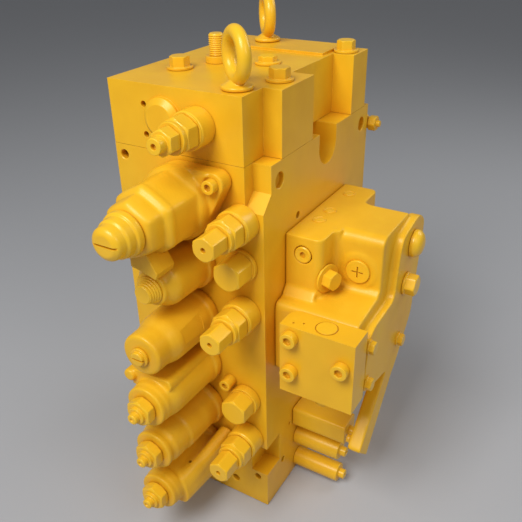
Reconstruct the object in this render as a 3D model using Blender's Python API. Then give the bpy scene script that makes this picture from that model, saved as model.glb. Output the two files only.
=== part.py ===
"""Six-spool hydraulic control valve, an assembly of separate machined and cast pieces.

Metres, +Z up. The spool bores run along Y; the caps stand out of the front face (-Y), the
pilot cover closes the rear face and the side valve block is bolted to the right face (+X).
The spool pitch, the bonnet and the relief cartridges set the size of the body.
"""
import math
from typing import NamedTuple

import bmesh
import bpy
from mathutils import Matrix, Vector

# Clearance kept wherever one piece rests on, sits in or passes through another.
GAP = 0.0003
# How far a cutter runs past the face that it enters, and how deep a fused piece is rooted.
OUT = 0.02
ROOT = 0.004
# Sides of a round piece, and of a small one. Both are multiples of six for the hexagons.
SEG = 18
SMALL_SEG = 12

# Spools and their bores.
SPOOLS = 6
SPOOL_R = 0.014
SPOOL_CLEAR = 0.0003
SPOOL_NECK_R = 0.0085
SPOOL_TAIL = 0.010
LAND_OUTER = 0.021
LAND_INNER = 0.009
LAND_SLOPE = 0.0015
STEM_R = 0.005
STEM_LEN = 0.036
STEM_HEAD_R = 0.008
STEM_HEAD_LEN = 0.004
STEM_SHOULDER = 0.001
PORT_PITCH = 0.043
CHANNEL_LEN = 0.012
CHANNEL_DEEP = 0.005
END_LAND = 0.079
PORT_R = 0.0105
PORT_SPOT_R = 0.0175
PORT_SPOT_DEEP = 0.0015

# Spring caps on the front face.
CAP_FLANGE_R = 0.0315
CAP_FLANGE_T = 0.010
CAP_SPACE = 0.003
CAP_BORE_R = 0.0165
CAP_BORE_DEEP = 0.062
CAP_SCREW_R = 0.006
CAP_RIM = 0.0015
STROKE_TIP = 0.052
SPRING_WIRE = 0.0016
SPRING_R = 0.0118
SPRING_TURNS = 4
SPRING_SEAT = 0.0034

# Holding-valve bonnet on the top spool.
BONNET_R = 0.0395
BONNET_LEN = 0.094
BONNET_TAPER = 0.0045
BONNET_HEX_AF = 0.056
BONNET_HEX_LEN = 0.024
BONNET_LUG_REACH = 0.0045
BONNET_LUG_Z = 0.027
BONNET_LUG_R = 0.012
BONNET_LUG_T = 0.017
BONNET_FOOT_BEHIND = 0.015
BONNET_FOOT_LEN = 0.030
BONNET_FOOT_X = 0.022
BONNET_FOOT_DROP = 0.0485
BONNET_FOOT_T = 0.0045

# Relief cartridges.
RELIEF_R = 0.0195
RELIEF_SPACE = 0.007
RELIEF_EDGE = 0.024
RELIEF_SHANK_R = 0.013
RELIEF_SHANK_LEN = 0.045
RELIEF_BARREL = 0.022
RELIEF_HEX_AF = 0.0325
RELIEF_HEX_LEN = 0.017
RELIEF_RING_R = 0.0158
RELIEF_RING_LEN = 0.005
RELIEF_CHAMBER_R = 0.009
RELIEF_STEM_R = 0.005
RELIEF_LAND = 0.006
RELIEF_NUT_AF = 0.0235
RELIEF_NUT_LEN = 0.024
RELIEF_SHORT_NUT = 0.014
RELIEF_STUD_R = 0.008
RELIEF_REACH = 0.030
RELIEF_SOCKET_AF = 0.0052

# Heights of the first spool, the body's top margin and what lies beside the spools.
FIRST_SPOOL_Z = 0.072
TOP_MARGIN = 0.043
SPOOL_PITCH = 2 * CAP_FLANGE_R + CAP_SPACE
BONNET_PITCH = CAP_FLANGE_R + BONNET_R + CAP_SPACE
LAST_PLAIN_Z = FIRST_SPOOL_Z + SPOOL_PITCH * (SPOOLS - 2)
SPOOL_ZS = tuple(FIRST_SPOOL_Z + SPOOL_PITCH * k for k in range(SPOOLS - 1)) + (LAST_PLAIN_Z + BONNET_PITCH,)
RELIEF_ZS = (SPOOL_ZS[5] - 0.014, SPOOL_ZS[3] + 0.019, SPOOL_ZS[0] + 0.038)

# Main valve body, centred on the spool axes.
BODY_H = SPOOL_ZS[-1] + TOP_MARGIN
RELIEF_X = BONNET_R + RELIEF_R + RELIEF_SPACE
BODY_RIGHT = RELIEF_X + RELIEF_EDGE
BODY_LEFT = -BODY_RIGHT
BODY_BACK = PORT_PITCH + CHANNEL_LEN / 2 + END_LAND
BODY_FRONT = -BODY_BACK
FRONT = BODY_FRONT - GAP
REAR = BODY_BACK + GAP
BORE_R = SPOOL_R + SPOOL_CLEAR
CHANNEL_R = BORE_R + CHANNEL_DEEP
FOOT_H = 0.053
FOOT_NOTCH_W = 0.022
FOOT_NOTCH_D = 0.031
FOOT_WALL = 0.002
FOOT_NOTCH_TOP = RELIEF_ZS[-1] - RELIEF_SHANK_R - FOOT_WALL
STEP_W = 0.0205
STEP_D = 0.016
STEP_H = 0.029
STEP_SLOPE = 0.016
SLOT_W = 0.043
SLOT_DEPTH = 0.039
SLOT_IN = 0.035
SLOT_Y = BODY_FRONT + 0.1425
LIFT_HOLE_R = 0.0085
LIFT_HOLE_DEEP = 0.008
LIFT_HOLE_Y = BODY_FRONT + 0.033
LIFT_HOLE_DOWN = 0.020
REAR_HOLE_IN = 0.019
TAP_R = 0.004
TAP_DEEP = 0.018

# Hex plugs and the small screw on the front face.
PLUG_X = RELIEF_X - 0.002
UPPER_PLUG_Z = SPOOL_ZS[4] + 0.0105
LOWER_PLUG_Z = SPOOL_ZS[1] + 0.030
PLUG_COLLAR_R = 0.0185
PLUG_COLLAR_T = 0.005
PLUG_HEX_AF = 0.030
PLUG_HEX_LEN = 0.026
PLUG_SHANK_R = 0.013
PLUG_SHANK_LEN = 0.020
SIDE_SCREW_X = PLUG_X - 0.021
SIDE_SCREW_Z = LOWER_PLUG_Z + 0.019
SIDE_SCREW_H = 0.015
M8_HEAD_R = 0.0072
M8_HEAD_H = 0.0085
M8_R = 0.004
M8_AF = 0.0065
SOCKET_DEEP = 0.0042

# Top cover block.
TOP_H = 0.067
TOP_Z = BODY_H + GAP
TOP_FACE = TOP_Z + TOP_H
TOP_MID = TOP_Z + TOP_H / 2
TOP_BACK = BODY_BACK - 0.012
TOP_STEP_X = BODY_RIGHT - STEP_W
TOP_STEP_Y = BODY_FRONT + 0.0373
TOP_GAP_X = BODY_RIGHT - 0.025
TOP_GAP_Y0 = BODY_FRONT + 0.104
TOP_GAP_Y1 = BODY_BACK - 0.0525
PAD_Y = BODY_BACK - 0.070
PAD_H = 0.003
TOP_RELIEF_X = 0.020
TOP_RELIEF_Z = TOP_MID
BOSS_R = 0.0215
BOSS_H = 0.008
BOSS_BEVEL = 0.006
BOSS_X = TOP_RELIEF_X - RELIEF_R - BOSS_R - 0.001
BOSS_Z = TOP_MID + 0.001
PIN_HOLE_R = 0.0032
PIN_HOLE_X = BOSS_X - 0.024
PIN_HOLE_DEEP = 0.012
PIN_HOLE_ZS = (TOP_MID + 0.0125, TOP_MID - 0.0185)

# Bolts and the stud on the top block.
BOLT_R = 0.006
BOLT_AF = 0.0190
BOLT_HEAD_H = 0.0105
WASHER_R = 0.014
WASHER_T = 0.0025
BOLT_GRIP = 0.022
BOLT_LEFT = (BODY_LEFT + 0.042, BODY_FRONT + 0.066)
BOLT_RIGHT = (BODY_RIGHT - 0.0195, BODY_FRONT + 0.068)
BOLT_REAR = (BODY_RIGHT - 0.0165, BODY_BACK - 0.0375)
FLANGE_BOLT = (0.0235, -0.0015)
FLANGE_BOLT_AF = 0.018
FLANGE_BOLT_H = 0.006
FLANGE_BOLT_LEN = 0.030
STUD_AT = (-0.030, -0.019)
STUD_BASE_R = 0.0125
STUD_BASE_H = 0.007
STUD_R = 0.0085
STUD_RIB_DEEP = 0.0014
STUD_RIBS = 4
STUD_H = 0.030

# Eye bolts.
EYE_FRONT = (BODY_RIGHT - 0.039, BODY_FRONT + 0.022)
EYE_REAR = (BODY_LEFT + 0.058, BODY_BACK - 0.034)
EYE_COLLAR_R = 0.0155
EYE_COLLAR_T = 0.006
EYE_RING_R = 0.0205
EYE_BAR_R = 0.0067
EYE_SINK = 0.00175
EYE_SHANK_LEN = 0.024
EYE_FRONT_TURN = -37.0
EYE_REAR_TURN = -50.0

# Rear pilot cover and the angle plug beside it.
COVER_W = 0.084
COVER_T = 0.030
COVER_EDGE_T = 0.018
COVER_EDGE = 0.037
CHAMBER_DEEP = 0.022
PILOT_BOSS_W = 0.032
PILOT_BOSS_H = 0.008
PILOT_BOSS_SLOPE = 0.008
ANGLE_PLUG_X = BODY_RIGHT - 0.0155
ANGLE_PLUG_Z = BODY_H - 0.0275
ANGLE_PLUG_R = 0.010
ANGLE_PLUG_LEN = 0.024
ANGLE_PLUG_TAP = 0.009
ANGLE_ARM_AT = 0.013
ANGLE_ARM_REACH = 0.028
ANGLE_ARM_R = 0.0075
ANGLE_ARM_AF = 0.017
ANGLE_NUB_R = 0.004

# Side valve block on the right face.
SIDE_X = BODY_RIGHT + GAP
SIDE_BAR_X = BODY_RIGHT + 0.043
ARM_X = BODY_RIGHT + 0.097
SIDE_TOP = SPOOL_ZS[4] + 0.034
SIDE_LOW = SIDE_TOP - 0.162
SIDE_FRONT = BODY_FRONT + 0.044
SIDE_BACK = SIDE_FRONT + 0.152
ARM_FRONT = SIDE_FRONT + 0.034
ARM_BACK = ARM_FRONT + 0.075
ARM_ROUND = 0.012
BAR_ROUND = 0.006
CORNER_ROUND = 0.010
DECK_FRONT = SIDE_FRONT - 0.024
DECK_Z = SIDE_TOP - 0.067
DECK_LIP = DECK_Z - 0.006
KEEL_FRONT = 0.010
KEEL_DROP = 0.018
KEEL_IN = 0.021
HEEL_RISE = 0.028
BAR_RISE = 0.054
END_FLANGE_T = 0.009
LEG_W = 0.024
END_X = ARM_X + END_FLANGE_T
FLANGE_BOLT_HEAD_AF = 0.013
FLANGE_BOLT_HEAD_H = 0.006
FLANGE_WASHER_R = 0.0085
FLANGE_WASHER_T = 0.0015
FLANGE_BOLTS = ((DECK_FRONT + 0.011, DECK_LIP - 0.027), (DECK_FRONT + 0.011, SIDE_LOW + 0.014),
                (ARM_BACK - 0.025, SIDE_LOW + 0.010))
TAIL_BOLT = (DECK_FRONT + 0.030, SIDE_LOW - 0.092)
TAIL_BOLT_R = 0.0065
OVAL_R = 0.006
OVAL_X = BODY_RIGHT + 0.018
OVAL_YS = (SIDE_FRONT + 0.045, SIDE_FRONT + 0.072, SIDE_FRONT + 0.125)

# Cover block bolted to the deck of the side block.
COVER_X0 = BODY_RIGHT + 0.0240
COVER_X1 = BODY_RIGHT + 0.1075
COVER_DEPTH = 0.031
COVER_H = 0.086
COVER_Z0 = DECK_LIP - COVER_H
COVER_FILLET = 0.012
COVER_SCREW_IN = 0.0130
COVER_SCREWS = ((COVER_X0 + COVER_SCREW_IN, DECK_LIP - COVER_SCREW_IN),
                (COVER_X0 + COVER_SCREW_IN, COVER_Z0 + 0.030),
                (COVER_X1 - COVER_SCREW_IN, COVER_Z0 + 0.055))
COVER_PLUG_R = 0.0112
COVER_FITTING_R = 0.0085
COVER_FITTING_H = 0.012
M12_HEAD_R = 0.0088
M12_HEAD_H = 0.009
M12_R = 0.005
M12_AF = 0.0085

# Plugs of the side valve block.
SEAT_DEEP = 0.016
SHANK_LEN = 0.015
CROSS_X = BODY_RIGHT + 0.071
CROSS_Z = DECK_Z + 0.024
CROSS_R = 0.0135
CROSS_SHANK_R = 0.0115
CROSS_SLOT = 0.002
SOCKET_PLUG_X = BODY_RIGHT + 0.021
SOCKET_PLUG_Z = SIDE_TOP - 0.021
SOCKET_PLUG_R = 0.0095
SOCKET_PLUG_AF = 0.006
FLANGED_Y = SIDE_FRONT + 0.013
FLANGED_Z = DECK_Z + 0.018
FLANGED_R = 0.0140
FLANGED_AF = 0.019
FLANGED_LEN = 0.013
FLANGED_TILT = (0.96, -0.28, 0.0)
PLUG_SMALL_R = 0.008
DOME_Y = ARM_BACK - 0.005
DOME_Z = SIDE_TOP - 0.033
DOME_R = 0.016
DOME_H = 0.012
DOME_SHANK_R = 0.010
SIDE_HEX_Y = ARM_BACK - 0.019
SIDE_HEX_Z = DECK_Z - 0.011
SIDE_HEX_AF = 0.022
SIDE_HEX_R = 0.0135
SIDE_HEX_LEN = 0.014

# Shuttle cylinders low on the right face: distance from the front, height, radius, length.
PILOTS = ((0.080, 0.103, 0.0135, 0.076), (0.080, 0.0565, 0.0110, 0.062), (0.080, 0.0165, 0.0105, 0.062))
PILOT_SHANK_R = 0.006
PILOT_SHANK_LEN = 0.016
PILOT_SCREW_R = 0.0062
PILOT_SCREW_LEN = 0.008
PILOT_EDGE = 0.001


class CapShape(NamedTuple):
    """Outside of one spring cap, as distances from the front face and radii."""

    body_r: float
    body_end: float
    shoulder_end: float
    nose_r: float
    length: float


CAPS = {
    1: CapShape(0.0225, 0.078, 0.082, 0.0245, 0.098),
    2: CapShape(0.0285, 0.068, 0.082, 0.0235, 0.098),
    3: CapShape(0.0295, 0.074, 0.084, 0.0250, 0.101),
    4: CapShape(0.0295, 0.064, 0.074, 0.0240, 0.097),
    5: CapShape(0.0285, 0.056, 0.066, 0.0190, 0.071),
}


class Ring(NamedTuple):
    """One ring of a turned piece: distance along the axis, radius or width across flats, "c" or "h"."""

    along: float
    size: float
    kind: str = "c"


def clear_scene():
    """Remove every object of the open scene."""
    for item in list(bpy.data.objects):
        bpy.data.objects.remove(item, do_unlink=True)


def material(name, colour, roughness, metallic):
    """Return a Principled material of one colour."""
    mat = bpy.data.materials.new(name)
    mat.use_nodes = True
    shader = mat.node_tree.nodes["Principled BSDF"]
    shader.inputs["Base Color"].default_value = (*colour, 1.0)
    shader.inputs["Roughness"].default_value = roughness
    shader.inputs["Metallic"].default_value = metallic
    return mat


def link(name, bm, mat):
    """Turn a bmesh into a named object with one material."""
    bmesh.ops.recalc_face_normals(bm, faces=bm.faces)
    mesh = bpy.data.meshes.new(name)
    bm.to_mesh(mesh)
    bm.free()
    item = bpy.data.objects.new(name, mesh)
    bpy.context.collection.objects.link(item)
    if mat is not None:
        mesh.materials.append(mat)
    return item


def hexagon_radius(across_flats, angle):
    """Distance from the centre of a hexagon to its outline at an angle."""
    step = math.pi / 3
    local = (angle + step / 2) % step - step / 2
    return across_flats / 2 / math.cos(local)


def stack(name, origin, axis, rings, mat, seg=SEG):
    """Build one closed body from rings along an axis.

    A ring of size 0 is a point on the axis. The rings make a closed loop, so a bore is
    written as rings that run back inside.
    """
    bm = bmesh.new()
    turn = Vector((0, 0, 1)).rotation_difference(Vector(axis).normalized()).to_matrix().to_4x4()
    place = Matrix.Translation(Vector(origin)) @ turn
    made = []
    for ring in rings:
        if ring.size == 0:
            made.append([bm.verts.new(place @ Vector((0, 0, ring.along)))])
            continue
        row = []
        for k in range(seg):
            angle = 2 * math.pi * k / seg
            reach = ring.size if ring.kind == "c" else hexagon_radius(ring.size, angle)
            point = Vector((reach * math.cos(angle), reach * math.sin(angle), ring.along))
            row.append(bm.verts.new(place @ point))
        made.append(row)
    for one, two in zip(made, made[1:] + made[:1]):
        if len(one) == 1 and len(two) == 1:
            continue
        for k in range(seg):
            nxt = (k + 1) % seg
            if len(one) == 1:
                bm.faces.new((one[0], two[k], two[nxt]))
            elif len(two) == 1:
                bm.faces.new((one[k], one[nxt], two[0]))
            else:
                bm.faces.new((one[k], one[nxt], two[nxt], two[k]))
    return link(name, bm, mat)


def prism(name, outline, axis, low, high, mat=None):
    """Extrude a flat outline. Axis "x" takes (y, z) points, "y" takes (x, z), "z" takes (x, y)."""
    bm = bmesh.new()

    def point(pair, level):
        if axis == "x":
            return Vector((level, pair[0], pair[1]))
        if axis == "y":
            return Vector((pair[0], level, pair[1]))
        return Vector((pair[0], pair[1], level))

    lower = [bm.verts.new(point(pair, low)) for pair in outline]
    upper = [bm.verts.new(point(pair, high)) for pair in outline]
    bm.faces.new(lower)
    bm.faces.new(upper)
    count = len(outline)
    for k in range(count):
        nxt = (k + 1) % count
        bm.faces.new((lower[k], lower[nxt], upper[nxt], upper[k]))
    return link(name, bm, mat)


def box(name, low, high, mat=None):
    """Return a box between two corners."""
    outline = ((low[0], low[1]), (high[0], low[1]), (high[0], high[1]), (low[0], high[1]))
    return prism(name, outline, "z", low[2], high[2], mat)


def rod(name, origin, axis, start, end, radius, seg=SMALL_SEG):
    """Return a plain cylinder used as a cutter or a stub."""
    return stack(name, origin, axis, (Ring(start, 0), Ring(start, radius), Ring(end, radius), Ring(end, 0)), None, seg)


def apply_tool(target, tool, operation):
    """Combine a helper body with a target and hide the helper."""
    step = target.modifiers.new(tool.name, "BOOLEAN")
    step.operation = operation
    step.solver = "EXACT"
    step.object = tool
    tool.hide_render = True
    tool.display_type = "WIRE"
    return target


def cut(target, *tools):
    """Take helper bodies away from a target."""
    for tool in tools:
        apply_tool(target, tool, "DIFFERENCE")
    return target


def fuse(target, *tools):
    """Add helper bodies to a target as one casting."""
    for tool in tools:
        apply_tool(target, tool, "UNION")
    return target


def arc(centre, radius, start, end, steps):
    """Points of a flat arc in degrees."""
    out = []
    for k in range(steps + 1):
        angle = math.radians(start + (end - start) * k / steps)
        out.append((centre[0] + radius * math.cos(angle), centre[1] + radius * math.sin(angle)))
    return out


def cap_screw(name, origin, axis, head_r, head_h, shank_r, shank_len, socket_af, mat):
    """Socket head screw whose head rests on the face at the origin."""
    edge = head_r * 0.08
    rings = (
        Ring(-shank_len, 0), Ring(-shank_len, shank_r), Ring(0, shank_r), Ring(0, head_r),
        Ring(head_h - edge, head_r), Ring(head_h, head_r - edge), Ring(head_h, socket_af, "h"),
        Ring(head_h - SOCKET_DEEP, socket_af, "h"), Ring(head_h - SOCKET_DEEP, 0),
    )
    return stack(name, origin, axis, rings, mat, SMALL_SEG)


def bonnet_lugs():
    """Centres of the two bonnet lugs on the front face."""
    reach = BONNET_R + BONNET_LUG_REACH
    return ((reach, SPOOL_ZS[-1] + BONNET_LUG_Z), (-reach, SPOOL_ZS[-1] - BONNET_LUG_Z))


def bore_cutter(number, z):
    """Cutter for one spool bore with a channel at each service port."""
    rings = [Ring(BODY_FRONT - OUT, 0), Ring(BODY_FRONT - OUT, BORE_R)]
    for y in (-PORT_PITCH, PORT_PITCH):
        rings += [Ring(y - CHANNEL_LEN / 2, BORE_R), Ring(y - CHANNEL_LEN / 2, CHANNEL_R),
                  Ring(y + CHANNEL_LEN / 2, CHANNEL_R), Ring(y + CHANNEL_LEN / 2, BORE_R)]
    rings += [Ring(BODY_BACK + OUT, BORE_R), Ring(BODY_BACK + OUT, 0)]
    return stack(f"cut_bore_{number}", (0, 0, z), (0, 1, 0), rings, None, SMALL_SEG)


def port_cutter(name, y, z):
    """Cutter for one service port with its spot face on the left side."""
    rings = (Ring(-OUT, 0), Ring(-OUT, PORT_SPOT_R), Ring(PORT_SPOT_DEEP, PORT_SPOT_R),
             Ring(PORT_SPOT_DEEP, PORT_R), Ring(-BODY_LEFT, PORT_R), Ring(-BODY_LEFT, 0))
    return stack(name, (BODY_LEFT, y, z), (1, 0, 0), rings, None, SMALL_SEG)


def main_body(mat):
    """Cast and machined valve body with six through bores."""
    body = box("main_body", (BODY_LEFT, BODY_FRONT, 0), (BODY_RIGHT, BODY_BACK, BODY_H), mat)
    cut(body, box("cut_foot_notch", (BODY_RIGHT - FOOT_NOTCH_W, BODY_FRONT - OUT, FOOT_H),
                  (BODY_RIGHT + OUT, BODY_FRONT + FOOT_NOTCH_D, FOOT_NOTCH_TOP)))
    step_z = BODY_H - STEP_H
    step_y = BODY_FRONT + STEP_D
    slope = STEP_SLOPE / STEP_D
    step = ((BODY_FRONT - OUT, step_z - STEP_SLOPE - OUT * slope), (step_y, step_z), (step_y, BODY_H + OUT),
            (BODY_FRONT - OUT, BODY_H + OUT))
    cut(body, prism("cut_top_step", step, "x", BODY_RIGHT - STEP_W, BODY_RIGHT + OUT))
    half = SLOT_W / 2
    outline = arc((SLOT_Y, BODY_H - SLOT_DEPTH + half), half, 180, 360, 8)
    outline += [(SLOT_Y + half, BODY_H + OUT), (SLOT_Y - half, BODY_H + OUT)]
    cut(body, prism("cut_lift_slot", outline, "x", BODY_RIGHT - SLOT_IN, BODY_RIGHT + OUT))
    for number, z in enumerate(SPOOL_ZS, 1):
        cut(body, bore_cutter(number, z))
        for side, y in (("a", -PORT_PITCH), ("b", PORT_PITCH)):
            cut(body, port_cutter(f"cut_port_{number}{side}", y, z))
    front_holes(body)
    side_holes(body)
    for tag, at in (("left", BOLT_LEFT), ("right", BOLT_RIGHT), ("rear", BOLT_REAR)):
        cut(body, rod(f"cut_thread_{tag}", (at[0], at[1], BODY_H), (0, 0, -1), -OUT, BOLT_GRIP + GAP, BOLT_R + GAP))
    cut(body, rod("cut_rear_plug", (ANGLE_PLUG_X, BODY_BACK, ANGLE_PLUG_Z), (0, -1, 0), -OUT, ANGLE_PLUG_TAP + GAP,
                  TAP_R + GAP))
    return body


def front_holes(body):
    """Cut the cartridge cavities and taps of the front face."""
    for number, z in enumerate(RELIEF_ZS, 2):
        cut(body, rod(f"cut_relief_{number}", (RELIEF_X, BODY_FRONT, z), (0, 1, 0), -OUT, RELIEF_SHANK_LEN + GAP,
                      RELIEF_SHANK_R + GAP, SEG))
    for tag, z in (("upper", UPPER_PLUG_Z), ("lower", LOWER_PLUG_Z)):
        cut(body, rod(f"cut_plug_{tag}", (PLUG_X, BODY_FRONT, z), (0, 1, 0), -OUT, PLUG_SHANK_LEN + GAP,
                      PLUG_SHANK_R + GAP, SEG))
    taps = [("side_screw", SIDE_SCREW_X, SIDE_SCREW_Z, M8_R + GAP)]
    taps += [(f"bonnet_{n}", x, z, M8_R + GAP) for n, (x, z) in enumerate(bonnet_lugs(), 1)]
    taps += [("corner", BODY_LEFT + 0.011, BODY_H - 0.0115, TAP_R + 0.001),
             ("foot_right", BODY_RIGHT - 0.014, FOOT_H - 0.009, TAP_R + 0.001),
             ("foot_middle", PLUG_X - 0.021, FOOT_H - 0.029, TAP_R + 0.001)]
    for tag, x, z, radius in taps:
        cut(body, rod(f"cut_tap_{tag}", (x, BODY_FRONT, z), (0, 1, 0), -OUT, TAP_DEEP + GAP, radius))


def side_holes(body):
    """Cut the lifting holes, taps and shuttle cylinder seats of the right face."""
    cut(body, rod("cut_lift_hole", (BODY_RIGHT, LIFT_HOLE_Y, BODY_H - LIFT_HOLE_DOWN), (1, 0, 0), -LIFT_HOLE_DEEP,
                  OUT, LIFT_HOLE_R))
    cut(body, rod("cut_rear_hole", (BODY_RIGHT, BODY_BACK - REAR_HOLE_IN, BODY_H - LIFT_HOLE_DOWN), (1, 0, 0),
                  -LIFT_HOLE_DEEP, OUT, LIFT_HOLE_R))
    for tag, y, z in (("upper", ARM_FRONT - 0.005, SIDE_TOP + 0.0085), ("foot", BODY_FRONT + 0.040, FOOT_H - 0.008)):
        cut(body, rod(f"cut_side_tap_{tag}", (BODY_RIGHT, y, z), (1, 0, 0), -TAP_DEEP, OUT, TAP_R))
    for number, (in_y, z, _radius, _length) in enumerate(PILOTS, 1):
        cut(body, rod(f"cut_pilot_{number}", (BODY_RIGHT, BODY_FRONT + in_y, z), (-1, 0, 0), -OUT,
                      PILOT_SHANK_LEN + GAP, PILOT_SHANK_R + GAP))


def top_block(mat):
    """Cover block that closes the top of the body and carries the main relief valve."""
    outline = ((BODY_LEFT, BODY_FRONT), (TOP_STEP_X, BODY_FRONT), (TOP_STEP_X, TOP_STEP_Y),
               (BODY_RIGHT, TOP_STEP_Y), (BODY_RIGHT, TOP_GAP_Y0), (TOP_GAP_X, TOP_GAP_Y0),
               (TOP_GAP_X, TOP_GAP_Y1), (BODY_RIGHT, TOP_GAP_Y1), (BODY_RIGHT, TOP_BACK), (BODY_LEFT, TOP_BACK))
    block = prism("top_block", outline, "z", TOP_Z, TOP_FACE, mat)
    pad_right = BOLT_REAR[0] - WASHER_R
    fuse(block, box("add_pad", (BODY_LEFT, PAD_Y, TOP_FACE - ROOT), (pad_right, TOP_BACK, TOP_FACE + PAD_H)))
    rings = (Ring(-ROOT, 0), Ring(-ROOT, BOSS_R), Ring(BOSS_H / 2, BOSS_R), Ring(BOSS_H, BOSS_R - BOSS_BEVEL),
             Ring(BOSS_H, 0))
    fuse(block, stack("add_boss", (BOSS_X, BODY_FRONT, BOSS_Z), (0, -1, 0), rings, None))
    cut(block, rod("cut_top_relief", (TOP_RELIEF_X, BODY_FRONT, TOP_RELIEF_Z), (0, 1, 0), -OUT,
                   RELIEF_SHANK_LEN + GAP, RELIEF_SHANK_R + GAP, SEG))
    for number, z in enumerate(PIN_HOLE_ZS, 1):
        cut(block, rod(f"cut_pin_{number}", (PIN_HOLE_X, BODY_FRONT, z), (0, 1, 0), -OUT, PIN_HOLE_DEEP, PIN_HOLE_R))
    for tag, at in (("left", BOLT_LEFT), ("right", BOLT_RIGHT), ("rear", BOLT_REAR)):
        cut(block, rod(f"cut_bolt_{tag}", (at[0], at[1], TOP_Z), (0, 0, 1), -OUT, TOP_H + OUT, BOLT_R + GAP))
    blind = (("flange_bolt", FLANGE_BOLT, FLANGE_BOLT_LEN), ("stud", STUD_AT, FLANGE_BOLT_LEN),
             ("eye_front", EYE_FRONT, EYE_SHANK_LEN), ("eye_rear", EYE_REAR, EYE_SHANK_LEN))
    for tag, at, deep in blind:
        cut(block, rod(f"cut_{tag}", (at[0], at[1], TOP_FACE), (0, 0, -1), -OUT, deep + GAP, BOLT_R + GAP))
    return block


def eye_ring(name, centre, turn):
    """Closed ring of an eye bolt, standing upright and turned about Z."""
    bm = bmesh.new()
    around = 18
    section = 8
    heading = math.radians(turn)
    flat = Vector((math.cos(heading), math.sin(heading), 0))
    across = Vector((-math.sin(heading), math.cos(heading), 0))
    rows = []
    for k in range(around):
        angle = 2 * math.pi * k / around
        out = flat * math.cos(angle) + Vector((0, 0, math.sin(angle)))
        row = []
        for j in range(section):
            spin = 2 * math.pi * (j + 0.5) / section
            reach = EYE_RING_R + EYE_BAR_R * math.cos(spin)
            row.append(bm.verts.new(centre + out * reach + across * EYE_BAR_R * math.sin(spin)))
        rows.append(row)
    for k in range(around):
        one = rows[k]
        two = rows[(k + 1) % around]
        for j in range(section):
            nxt = (j + 1) % section
            bm.faces.new((one[j], one[nxt], two[nxt], two[j]))
    return link(name, bm, None)


def eye_bolt(name, at, seat, turn, mat):
    """Lifting eye with its collar on the seat height."""
    tip = TOP_FACE - EYE_SHANK_LEN - seat
    rings = (Ring(tip, 0), Ring(tip, BOLT_R), Ring(0, BOLT_R), Ring(0, EYE_COLLAR_R),
             Ring(EYE_COLLAR_T * 0.65, EYE_COLLAR_R), Ring(EYE_COLLAR_T, EYE_COLLAR_R * 0.75),
             Ring(EYE_COLLAR_T + EYE_BAR_R / 2, 0))
    bolt = stack(name, (at[0], at[1], seat + GAP), (0, 0, 1), rings, mat, SMALL_SEG)
    middle = seat + GAP + EYE_COLLAR_T + EYE_RING_R + EYE_BAR_R - EYE_SINK
    return fuse(bolt, eye_ring(f"add_ring_{name}", Vector((at[0], at[1], middle)), turn))


def hex_bolt(name, at, across, head_h, length, mat):
    """Hex bolt with its washer, head up, resting on the top block."""
    rings = (Ring(-length, 0), Ring(-length, BOLT_R), Ring(0, BOLT_R), Ring(0, WASHER_R), Ring(WASHER_T, WASHER_R),
             Ring(WASHER_T, across, "h"), Ring(WASHER_T + head_h, across, "h"), Ring(WASHER_T + head_h, 0))
    return stack(name, (at[0], at[1], TOP_FACE + GAP), (0, 0, 1), rings, mat, SMALL_SEG)


def top_hardware(mat):
    """Bolts, stud and eye bolts of the top block."""
    through = TOP_H + BOLT_GRIP
    for tag, at in (("left", BOLT_LEFT), ("right", BOLT_RIGHT), ("rear", BOLT_REAR)):
        hex_bolt(f"top_bolt_{tag}", at, BOLT_AF, BOLT_HEAD_H, through, mat)
    hex_bolt("top_flange_bolt", FLANGE_BOLT, FLANGE_BOLT_AF, FLANGE_BOLT_H, FLANGE_BOLT_LEN, mat)
    rings = [Ring(-FLANGE_BOLT_LEN, 0), Ring(-FLANGE_BOLT_LEN, BOLT_R), Ring(0, BOLT_R), Ring(0, STUD_BASE_R),
             Ring(STUD_BASE_H, STUD_BASE_R)]
    rib = (STUD_H - STUD_BASE_H) / STUD_RIBS
    for k in range(STUD_RIBS):
        start = STUD_BASE_H + rib * k
        rings += [Ring(start, STUD_R - STUD_RIB_DEEP), Ring(start + rib * 0.35, STUD_R), Ring(start + rib, STUD_R)]
    rings.append(Ring(STUD_H, 0))
    stack("top_stud", (STUD_AT[0], STUD_AT[1], TOP_FACE + GAP), (0, 0, 1), rings, mat, SMALL_SEG)
    eye_bolt("eye_bolt_front", EYE_FRONT, TOP_FACE, EYE_FRONT_TURN, mat)
    eye_bolt("eye_bolt_rear", EYE_REAR, TOP_FACE + PAD_H, EYE_REAR_TURN, mat)


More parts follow.
